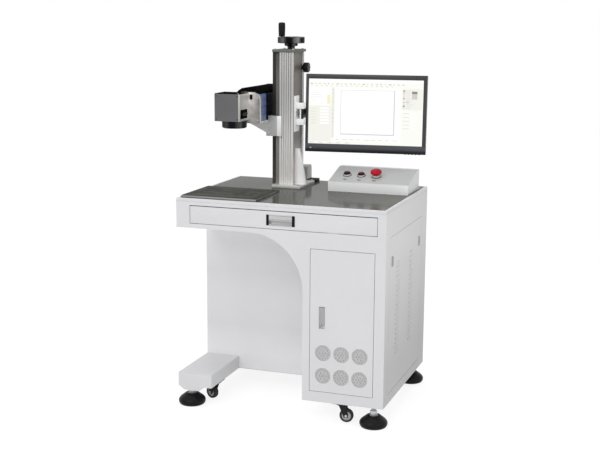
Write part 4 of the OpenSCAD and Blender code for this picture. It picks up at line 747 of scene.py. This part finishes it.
FRONT_GLASS = [(0.0, -0.0225), (0.012, -0.0222), (0.022, -0.0213), (0.03, -0.02), (0.0362, -0.0185),
               (0.0362, -0.01), (0.0, -0.01)]
piece("lens_barrel", [(lathe(BARREL, 96), LENS_AT, 0), (lathe(FRONT_GLASS, 72), LENS_AT, 1),
                      (rod(0.03, 0.0, 0.0049, 48), LENS_AT, 0)],
      "carriage", [BLACK_GLOSS_PAINTED_GLINT, GLASS], ("scan_lens",))

# Monitor, in its own frame: X to the right, Y to the back, origin in the middle of its front
MON_PIVOT, MON_DEPTH = mm(172.35, 209.48, 1054), 57
MON_TURN, MON_LEAN = math.radians(7), math.radians(-3)
MON = (Matrix.Translation(MON_PIVOT) @ Matrix.Rotation(MON_TURN, 4, "Z") @ Matrix.Rotation(MON_LEAN, 4, "X") @
       Matrix.Translation(mm(0, -MON_DEPTH, 0)))
MON_BACK = MON.inverted()
FRAME_BACK, CHIN_TOP = 15.5, -115.5


# Right side faces in a painted reflection; the chin below CHIN_TOP in dark gloss, brightening towards its top
# as painted reflection
def housing_tone(c, n):
    q = MON_BACK @ (c * MM) / MM
    if q.y >= FRAME_BACK:
        return 2
    if q.z < CHIN_TOP:
        return 1
    return 3 if n.x > 0.4 else 0


split_copy("monitor_housing", 0.0012, [BEZEL, BEZEL_CHIN_PAINTED_REFLECTION, BLACK, BEZEL_SIDE_PAINTED_REFLECTION], housing_tone,
           [(MON @ mm(0, FRAME_BACK - 0.1, 0), MON.to_3x3() @ Vector(TO_BACK)),
            (MON @ mm(0, 0, CHIN_TOP - 0.1), MON.to_3x3() @ Vector(TO_TOP))])

# The screen's picture: its face, the step between layers, its borders and the left side of its tools
FACE, LAYER = 1.5, 0.06
X0, X1, Z0, Z1 = -217.4, 214.4, -114.9, 127.9
TOOLS = X1 - 78


def panel(x0, x1, z0, z1, layer, tone):
    """A flat patch of the screen's picture."""
    y = FACE - layer * LAYER
    return (block(mm(x0, y - LAYER / 2, z0), mm(x1, y, z1)), MON, tone)


ui = [panel(X0, X1, 117, Z1, 1, S_WHITE), panel(X0, X1, 98, 117, 1, S_BASE),
      panel(X0, X1, Z0, Z0 + 9, 1, S_BASE), panel(X0 + 2, X0 + 76, 30, 96, 1, S_WHITE),
      panel(X0, X0 + 86, Z0 + 9, 27, 1, S_SIDE), panel(X0 + 88, X0 + 98, Z0 + 24, 96, 1, S_TOOL),
      panel(X0 + 100, TOOLS - 4, Z0 + 12, 97, 1, S_WHITE), panel(X0 + 122, X1 - 105, Z0 + 36, 88, 2, S_SHADE),
      panel(X0 + 124, X1 - 109, Z0 + 40, 86.5, 3, S_WHITE),
      panel(TOOLS, X1 - 2, 18, 96, 1, S_SIDE), panel(TOOLS, X1 - 2, Z0 + 12, 14, 1, S_BASE),
      panel(X0 + 70, X0 + 82, 35, 69, 3, S_YELLOW), panel(TOOLS + 36, TOOLS + 56, 78, 87, 3, S_DARK),
      panel(TOOLS + 36, TOOLS + 56, 58, 78, 3, S_MID), panel(TOOLS + 14, TOOLS + 25, 44, 50, 3, S_SHADE)]
for i in range(22):
    x = X0 + 6 + i * 16.5
    ui.append(panel(x, x + (5 if i % 3 else 9), 108, 112.5, 2, S_TICK if i % 2 else S_MID))
for i in range(17):
    ui.append(panel(X0 + 9 + i * 19, X0 + 13 + i * 19, 101, 104.5, 2, S_MID if i % 4 else S_TICK))
for i in range(7):
    ui.append(panel(X0 + 6, X0 + 34 + (i * 7) % 22, 84 - i * 8, 85.4 - i * 8, 2, S_TICK))
for i in range(6):
    ui.append(panel(X0 + 8, X0 + 30, 16 - i * 11, 18 - i * 11, 2, S_TICK))
    ui.append(panel(X0 + 44, X0 + 78, 14 - i * 11, 20.5 - i * 11, 2, S_WHITE))
for i in range(9):
    ui.append(panel(X0 + 90.5, X0 + 95.5, 86 - i * 15, 91 - i * 15, 2, S_YELLOW if i == 4 else S_TICK))
for i, tone in enumerate((S_DARK, S_MID, S_TICK, S_GREY, S_RED, S_TOOL, S_MID, S_TICK, S_DARK, S_GREY)):
    ui.append(panel(TOOLS + 3, TOOLS + 10, 86 - i * 7, 91 - i * 7, 2, tone))
    ui.append(panel(TOOLS + 14, TOOLS + 44 - (i * 5) % 16, 87 - i * 7, 89 - i * 7, 2, S_TICK))
for i in range(5):
    ui.append(panel(TOOLS + 4, TOOLS + 28, 4 - i * 14, 6 - i * 14, 2, S_TICK))
    ui.append(panel(TOOLS + 32, TOOLS + 52, 2 - i * 14, 8 - i * 14, 2, S_WHITE))
for i in range(9):
    ui.append(panel(X0 + 104 + i * 27, X0 + 118 + i * 27 + (i * 5) % 7, Z0 + 16, Z0 + 19, 2, S_TICK))
for i in range(5):
    ui.append(panel(X0 + 5 + i * 34, X0 + 21 + i * 34, Z0 + 3, Z0 + 6, 2, S_TICK))
piece("screen_picture", ui, "monitor", SCREEN, smooth=0)

# The monitor's lamp, keys, rear slots, mount screws and sockets
bits = [(block(mm(-211, -0.25, -133), mm(-204, 0.2, -129), 0.0002), MON, 1)]
for x in range(150, 215, 13):
    bits.append((block(mm(x, -0.2, -147.0), mm(x + 7, 3.0, -145.6), 0.0003), MON, 2))
for x in range(-105, 120, 15):
    for z0, z1 in ((60, 84), (-86, -74)):
        bits.append((block(mm(x, 41.7, z0), mm(x + 8, 42.2, z1), 0.0003), MON, 0))
for x in (-42, 42):
    for z in (-42, 42):
        bits.append((pan_screw(0.0035, 0.0015), MON @ aim(mm(x, 45, z), TO_BACK), 3))
bits.append((block(mm(110, 41.6, -60), mm(150, 42.3, -30), 0.0005), MON, 0))
for x in (114, 132):
    bits.append((block(mm(x, 41.9, -52), mm(x + 14, 42.8, -39), 0.001), MON, 2))
piece("monitor_bits", bits, "monitor", [INK_LINE, BEZEL_SPOT, BLACK, ZINC])

# Bracket and arm of the monitor, with a white part at the arm's hinge: the left half of its barrel white, the
# right half left black as painted shade
ROOT_RIGHT, ROOT_BACK = -56, 108
HINGE_CAP = [(0, 0), (0.0075, 0), (0.0078, 0.0004), (0.0075, 0.0022), (0.005, 0.003), (0, 0.003)]
soften("monitor_bracket", 0.0012, WHITE_AND_LIP_PAINTED_LIGHT)
split_copy("monitor_arm", 0.0009, [BLACK_METAL, WHITE_AND_LIP_PAINTED_LIGHT],
           lambda c, n: 1 if c.x < ROOT_RIGHT and c.y < ROOT_BACK else 0,
           [(mm(ROOT_RIGHT, 0, 0), TO_RIGHT), (mm(0, ROOT_BACK, 0), TO_BACK)])
soften("monitor_head", 0.0006, BLACK_METAL)
screws("bracket_bolts", [mm(-74, y, z) for y in (90, 120) for z in (1048, 1060)], TO_RIGHT, 0.0035, 0.0025,
       "cabinet", ZINC)
piece("hinge_caps", [(lathe(HINGE_CAP, 32), aim(mm(-57, 104, z), axis), 0)
                     for z, axis in ((1096, TO_TOP), (1012, TO_BASE))],
      "monitor_arm", [BLACK_METAL])

# Console: its sides, the foot, run and rise of its slope, and the row of its buttons up the slope
CONSOLE_LEFT, CONSOLE_RIGHT = 68, 374
SLOPE_Y, SLOPE_Z, SLOPE_RUN, SLOPE_RISE = 52, 811, 143, 40
BUTTON_ROW = 0.45


def on_slope(share):
    """A place in the row of buttons, with Z square to the slope."""
    x = CONSOLE_LEFT + (CONSOLE_RIGHT - CONSOLE_LEFT) * share
    place = mm(x, SLOPE_Y + SLOPE_RUN * BUTTON_ROW, SLOPE_Z + SLOPE_RISE * BUTTON_ROW)
    return Matrix.Translation(place) @ Matrix.Rotation(math.atan(SLOPE_RISE / SLOPE_RUN), 4, "X")


START, LASER, STOP = on_slope(0.18), on_slope(0.36), on_slope(0.55)
RING_LOW, RING_HIGH = 0.25, 7.2
LIP_TOP, SLOPE_LOW, SLOPE_BACK = 815, 800, 196


# Button rings in chrome with their tops in a painted reflection of the cap, and the lip's front faces in
# painted light
def console_tone(c, n):
    for place, r, low_tone, high_tone in ((START, 15, 2, 4), (LASER, 15, 2, 4), (STOP, 17, 3, 3)):
        q = place.inverted() @ (c * MM) / MM
        if q.z > RING_LOW and math.hypot(q.x, q.y) < r:
            return high_tone if q.z > RING_HIGH else low_tone
    if n.y < -0.6 and c.z < LIP_TOP:
        return 5
    if c.y < SLOPE_BACK and n.z > 0.8 and c.z > SLOPE_LOW:
        return 1
    return 0


split_copy("console_shell", 0.0011, [WHITE, CONSOLE_TOP, CHROME, COLLAR, RING_TOP_PAINTED_REFLECTION, WHITE_AND_LIP_PAINTED_LIGHT],
           console_tone, steps=3)


def stem(top):
    """The shaft of a button, down into the console."""
    return rod(0.0049, -0.0199, top, 24)


# Buttons, collars and blank label plates of the console
CAP = [(0, 0.003), (0.0114, 0.003), (0.0114, 0.0108), (0.0111, 0.0118), (0.0103, 0.0126), (0.0088, 0.0129),
       (0.0082, 0.0125), (0.007, 0.0128), (0, 0.013)]
MUSHROOM = [(0, 0.01), (0.009, 0.01), (0.009, 0.0136), (0.0188, 0.0136), (0.0202, 0.014),
            (0.0208, 0.015), (0.021, 0.0165), (0.0209, 0.0195), (0.0203, 0.022), (0.0188, 0.0243),
            (0.016, 0.026), (0.012, 0.027), (0.006, 0.0275), (0, 0.0276)]
piece("start_cap", [(lathe(CAP, 64), START, 0), (stem(0.0035), START, 1)], "start_button",
      [BUTTON_DARK, BLACK], ("start_button",))
piece("laser_cap", [(lathe(CAP, 64), LASER, 0), (stem(0.0035), LASER, 1)], "laser_button",
      [BUTTON_RED, BLACK], ("laser_button",))
piece("stop_mushroom", [(lathe(MUSHROOM, 80), STOP, 0), (stem(0.0101), STOP, 1)], "emergency_stop",
      [STOP_RED_PAINTED_SHADE, BLACK], ("emergency_stop",))


def dark_base_ring(r):
    """A thin dark ring round the foot of a button's collar."""
    inner = r - 0.0012
    return lathe([(inner, 0.0), (r, 0.0), (r, 0.0012), (inner, 0.0016), (inner, 0.0)], 64)


# Thin dark rings round the foot of each button's collar
piece("dark_base_rings", [(dark_base_ring(r), place, 0)
                       for place, r in ((START, 0.0162), (LASER, 0.0162), (STOP, 0.0182))],
      "cabinet", [BLACK])
piece("label_plates", [(block(mm(-5, -43, 0), mm(8, -37, 0.4), 0.0001), place, 0)
                       for place in (START, LASER, STOP)], "cabinet", [BEZEL])
piece("console_seams", [(block(mm(x, 56, 777.4), mm(x + 0.3, 218, 778.0)), None, 0) for x in (67.9, 373.8)] +
      [(pan_screw(0.0035, 0.0014), aim(mm(x, y, 792), axis), 1)
       for x, axis in ((CONSOLE_LEFT, TO_LEFT), (CONSOLE_RIGHT, TO_RIGHT)) for y in (76, 200)],
      "cabinet", [INK_LINE, ZINC])

# Drawer pull: black end caps, satin between them, fine lines and seams on its face
PULL_LEFT, PULL_RIGHT, PULL_FACE, PULL_BACK = -34, 52, -299.3, -296.5
split_copy("drawer_pull", 0.0006, [PULL_ALU, BLACK],
           lambda c, n: 1 if (c.x < PULL_LEFT or c.x > PULL_RIGHT) and c.y < PULL_BACK else 0,
           [(mm(PULL_LEFT, 0, 0), TO_RIGHT), (mm(PULL_RIGHT, 0, 0), TO_RIGHT)])
piece("pull_lines", [(block(mm(PULL_LEFT + 0.2, PULL_FACE - 0.35, z - 0.35),
                            mm(PULL_RIGHT - 0.2, PULL_FACE, z + 0.35)), None, 0)
                     for z in (700.4, 719.6, 733.4)],
      "drawer", [INK_LINE])
piece("pull_seams", [(block(mm(x - 0.3, PULL_FACE - 0.36, 698.6), mm(x + 0.3, PULL_FACE, 735.4)), None, 0)
                     for x in (PULL_LEFT, PULL_RIGHT)],
      "drawer", [INK_LINE])

# Door latch, lock core, and the discs behind the vents
LOCK_FACE = -299.5
soften("latch_cup", 0.0008, LATCH_CUP)
soften("latch_paddle", 0.0006, LATCH)
piece("lock_core", [(lathe([(0, 0), (0.0048, 0), (0.0048, 0.0006), (0.0042, 0.0009), (0, 0.0009)], 40),
                     aim(mm(164, LOCK_FACE, 364), TO_FRONT), 0),
                    (block(mm(163.4, LOCK_FACE - 1.1, 361.4), mm(164.6, LOCK_FACE - 0.6, 366.6)), None, 1)],
      "door_latch", [HUB, INK_LINE])
piece("vent_filters", [(rod(0.0252, 0, 0.0008, 48),
                        aim(mm(VENT_X + i * VENT_DX, -295.2, VENT_Z + j * VENT_DZ), TO_BACK), 0)
                       for i in range(VENT_COLUMNS) for j in range(VENT_ROWS)],
      "door", [VENT_DISC])

# Side panel latches and cable duct
DUCT_BASE_TOP = 786.2
LATCH_CORE = [(0, 0), (0.0062, 0), (0.0062, 0.0008), (0.0054, 0.0012), (0, 0.0012)]
for n in ("front", "rear"):
    soften("panel_latch_" + n, 0.0005, DIE_CAST)
for n, y in (("front", -208.5), ("rear", 181.5)):
    piece("latch_slot_" + n, [(lathe(LATCH_CORE, 36), aim(mm(390.6, y, 584), TO_RIGHT), 0),
                              (block(mm(391.5, y - 0.8, 580.5), mm(392.1, y + 0.8, 587.5)), None, 1)],
          "panel_latch_" + n, [HUB, INK_LINE])
split_copy("cable_duct", 0.0009, [DUCT, BLACK], lambda c, n: 1 if c.z < DUCT_BASE_TOP else 0)
piece("duct_seam", [(block(mm(-110.3, 226.8, 786.6), mm(-74.7, 284, 787.3)), None, 0)], "cabinet",
      [INK_LINE])

# Power inlet with its switch and three pins
piece("power_inlet", [(block(mm(283.4, 268, 138.4), mm(326.6, 295.6, 161.6), 0.001), None, 0),
                      (block(mm(286, 295, 141), mm(307, 296.6, 159), 0.002), None, 1),
                      (block(mm(310, 295, 141), mm(324, 296.6, 159), 0.0008), None, 1),
                      (block(mm(311.5, 296.2, 142.5), mm(322.5, 297.4, 150), 0.0012), None, 2),
                      (block(mm(311.5, 296.0, 150.4), mm(322.5, 296.9, 157.5), 0.0012), None, 2)] +
      [(block(mm(x, 295.9, z), mm(x + 1.6, 297.2, z + 5)), None, 3)
       for x, z in ((290, 144), (301.4, 144), (295.7, 151))],
      "cabinet", [BLACK, BLACK_SATIN, BUTTON_DARK, ZINC])

# Levelling feet: domed pad, collar, hexagonal nut, threaded stem
FEET = (("fl", -349, -267.5), ("fr", 349, -267.5), ("bl", -349, 267.5), ("br", 349, 267.5))
PAD = [(0, 0), (0.0425, 0), (0.0455, 0.0016), (0.0482, 0.0056), (0.0497, 0.01), (0.05, 0.0135),
       (0.0496, 0.017), (0.0482, 0.0206), (0.0458, 0.024), (0.0424, 0.0275), (0.0378, 0.0312),
       (0.0332, 0.0345), (0.0292, 0.0376), (0.0264, 0.04), (0.0245, 0.0415), (0.0225, 0.042), (0, 0.042)]
PAD_COLLAR = [(0.0132, 0.0416), (0.015, 0.0416), (0.015, 0.0432), (0.0132, 0.0432)]
for n, x, y in FEET:
    at = Matrix.Translation(mm(x, y, 0))
    piece("pad_" + n, [(lathe(PAD, 96), at, 0), (lathe(PAD_COLLAR, 40), at, 1),
                       (hex_nut(0.0135, 0.0152), at @ Matrix.Translation(mm(0, 0, 42.8)), 1),
                       (thread(0.008, 0.05, 0.108, 0.0018), at, 1)],
          "foot_" + n, [BLACK_SATIN, ZINC_PALE], ("foot_" + n,))

# Casters: fork, axle nuts, tyre and hub. Each has a place and a turn of its fork in degrees
CASTERS = (("fl", -284, -199.5, 159), ("fr", 232, -266, 5), ("bl", -284, 199.5, 120), ("br", 232, 199.5, 70))
CASTER_TRAIL, AXLE_HEIGHT = 17, 27
TYRE = [(0.017, -0.009), (0.0215, -0.009), (0.0228, -0.0086), (0.0242, -0.007), (0.0249, -0.0045),
        (0.025, 0.0), (0.0249, 0.0045), (0.0242, 0.007), (0.0228, 0.0086), (0.0215, 0.009), (0.017, 0.009),
        (0.017, -0.009)]
WHEEL_DISC = [(0, -0.0095), (0.0056, -0.0095), (0.006, -0.009), (0.0062, -0.0062), (0.016, -0.0058),
              (0.0171, -0.0078), (0.0171, 0.0078), (0.016, 0.0058), (0.0062, 0.0062), (0.006, 0.009),
              (0.0056, 0.0095), (0, 0.0095)]
for n, x, y, turn in CASTERS:
    soften("fork_" + n, 0.0005, BLACK_METAL)
    hub = (Matrix.Translation(mm(x, y, 0)) @ Matrix.Rotation(math.radians(turn), 4, "Z") @
           Matrix.Translation(mm(CASTER_TRAIL, 0, AXLE_HEIGHT)) @ Matrix.Rotation(math.radians(90), 4, "X"))
    piece("tyre_" + n, [(lathe(TYRE, 72), hub, 0), (lathe(WHEEL_DISC, 56), hub, 1),
                        (rod(0.003, -0.0133, 0.0133, 20), hub, 2)] +
          [(hex_nut(0.0048, 0.0016), hub @ Matrix.Translation(mm(0, 0, z)), 2) for z in (-13.95, 12.35)],
          "wheel_" + n, [RUBBER, HUB, ZINC], ("wheel_" + n,))
piece("caster_bolts", [(pan_screw(0.0045, 0.0022), aim(mm(x + dx, y + dy, 72), TO_BASE), 0)
                       for _, x, y, _ in CASTERS for dx in (-19, 19) for dy in (-19, 19)],
      "cabinet", [ZINC])


def fan_grille(at, ring_tone, wire_tone):
    """The ring of a fan with round wires and two crossed bars."""
    parts = [(ring(0.0355, 0.0395, 0.0015, 56), at, ring_tone)]
    for r in (10, 19, 28):
        parts.append((ring((r - 0.7) * MM, (r + 0.7) * MM, 0.0012, 48), at, wire_tone))
    for k in range(2):
        turn = Matrix.Rotation(math.pi / 4 + k * math.pi / 2, 4, "Z")
        parts.append((block(mm(-36, -0.7, 0), mm(36, 0.7, 1)), at @ turn, wire_tone))
    return parts


# Fronts of the computer, seen when the door is open, and of the laser source
parts = [(block(mm(118, -238.4, 440), mm(286, -237.3, 478), 0.0006), None, 0),
         (block(mm(122, -239.0, 452), mm(272, -238.2, 474), 0.0006), None, 1),
         (block(mm(122, -239.0, 400), mm(282, -238.0, 432), 0.0006), None, 1),
         (lathe([(0, 0), (0.008, 0), (0.008, 0.0014), (0.0065, 0.002), (0, 0.002)], 36),
          aim(mm(270, -237.8, 380), TO_FRONT), 2)]
for x in (130, 152, 174):
    parts.append((block(mm(x, -238.2, 372), mm(x + 14, -237.2, 378), 0.0003), None, 3))
parts += fan_grille(aim(mm(202, -237.6, 186), TO_FRONT), 1, 2)
piece("computer_front", parts, "cabinet", [BLACK, BLACK_SATIN, ZINC, INK_LINE])
piece("source_grilles", fan_grille(aim(mm(-172, 6.1, 138), TO_FRONT), 0, 1) +
      fan_grille(aim(mm(-68, 6.1, 138), TO_FRONT), 0, 1), "cabinet", [BLACK, ZINC])

# Stage: half the floor's size, its glow and the share of it, the light all round, and the lamps' target
FLOOR_HALF = 14.0
FLOOR_GLOW, GLOW_SHARE = 1.16, 0.72
SKY_LIGHT = 0.62
TARGET = (0, 0, 0.7)


def mixed(nt, share, first, second):
    """The first shader, and the second one in its place by share."""
    node = nt.nodes.new("ShaderNodeMixShader")
    nt.links.new(share, node.inputs["Fac"])
    nt.links.new(first.outputs[0], node.inputs[1])
    nt.links.new(second.outputs[0], node.inputs[2])
    return node.outputs[0]


def seen_directly(nt, path):
    """1 for rays from the camera and for glossy ones, else 0."""
    return calc(nt, "MAXIMUM", path.outputs["Is Camera Ray"], path.outputs["Is Glossy Ray"])


def make_floor():
    mesh = bpy.data.meshes.new("floor")
    s = FLOOR_HALF
    mesh.from_pydata([(-s, -s, 0), (s, -s, 0), (s, s, 0), (-s, s, 0)], [], [(0, 1, 2, 3)])
    floor = bpy.data.objects.new("floor", mesh)
    bpy.context.scene.collection.objects.link(floor)
    mat, nt, bsdf = tree_of("floor_white")
    tint = ramp(nt, noise(nt, 3.0, 2.0), (0.9, 0.9, 0.9), (0.94, 0.94, 0.94))
    nt.links.new(tint, bsdf.inputs["Base Color"])
    fill(bsdf, {"Roughness": 0.9})
    emit = nt.nodes.new("ShaderNodeEmission")
    fill(emit, {"Color": (1, 1, 1, 1), "Strength": FLOOR_GLOW})
    share = calc(nt, "MULTIPLY", seen_directly(nt, nt.nodes.new("ShaderNodeLightPath")), GLOW_SHARE)
    nt.links.new(mixed(nt, share, bsdf, emit), nt.nodes["Material Output"].inputs["Surface"])
    mesh.materials.append(mat)


def make_world():
    world = bpy.data.worlds.new("studio")
    bpy.context.scene.world = world
    world.use_nodes = True
    nt = world.node_tree
    plain = nt.nodes["Background"]
    fill(plain, {"Color": (1, 1, 1, 1), "Strength": SKY_LIGHT})
    white = nt.nodes.new("ShaderNodeBackground")
    fill(white, {"Color": (1, 1, 1, 1), "Strength": 1.0})
    path = nt.nodes.new("ShaderNodeLightPath")
    share = calc(nt, "MAXIMUM", seen_directly(nt, path), path.outputs["Is Transmission Ray"])
    nt.links.new(mixed(nt, share, plain, white), nt.nodes["World Output"].inputs["Surface"])


def lamp(name, pos, size, power):
    """A rectangular lamp at pos that shines at the target."""
    data = bpy.data.lights.new(name, "AREA")
    data.shape = "RECTANGLE"
    data.size, data.size_y = size
    data.energy = power
    obj = bpy.data.objects.new(name, data)
    obj.location = pos
    obj.rotation_mode = "QUATERNION"
    obj.rotation_quaternion = (Vector(TARGET) - Vector(pos)).to_track_quat("-Z", "Y")
    bpy.context.scene.collection.objects.link(obj)


make_floor()
make_world()
lamp("key", (-0.6, -3.6, 3.0), (2.6, 2.0), 52)
lamp("fill", (3.2, -1.6, 2.0), (2.0, 2.0), 9)
lamp("top", (0.0, 0.4, 3.4), (2.4, 2.4), 22)
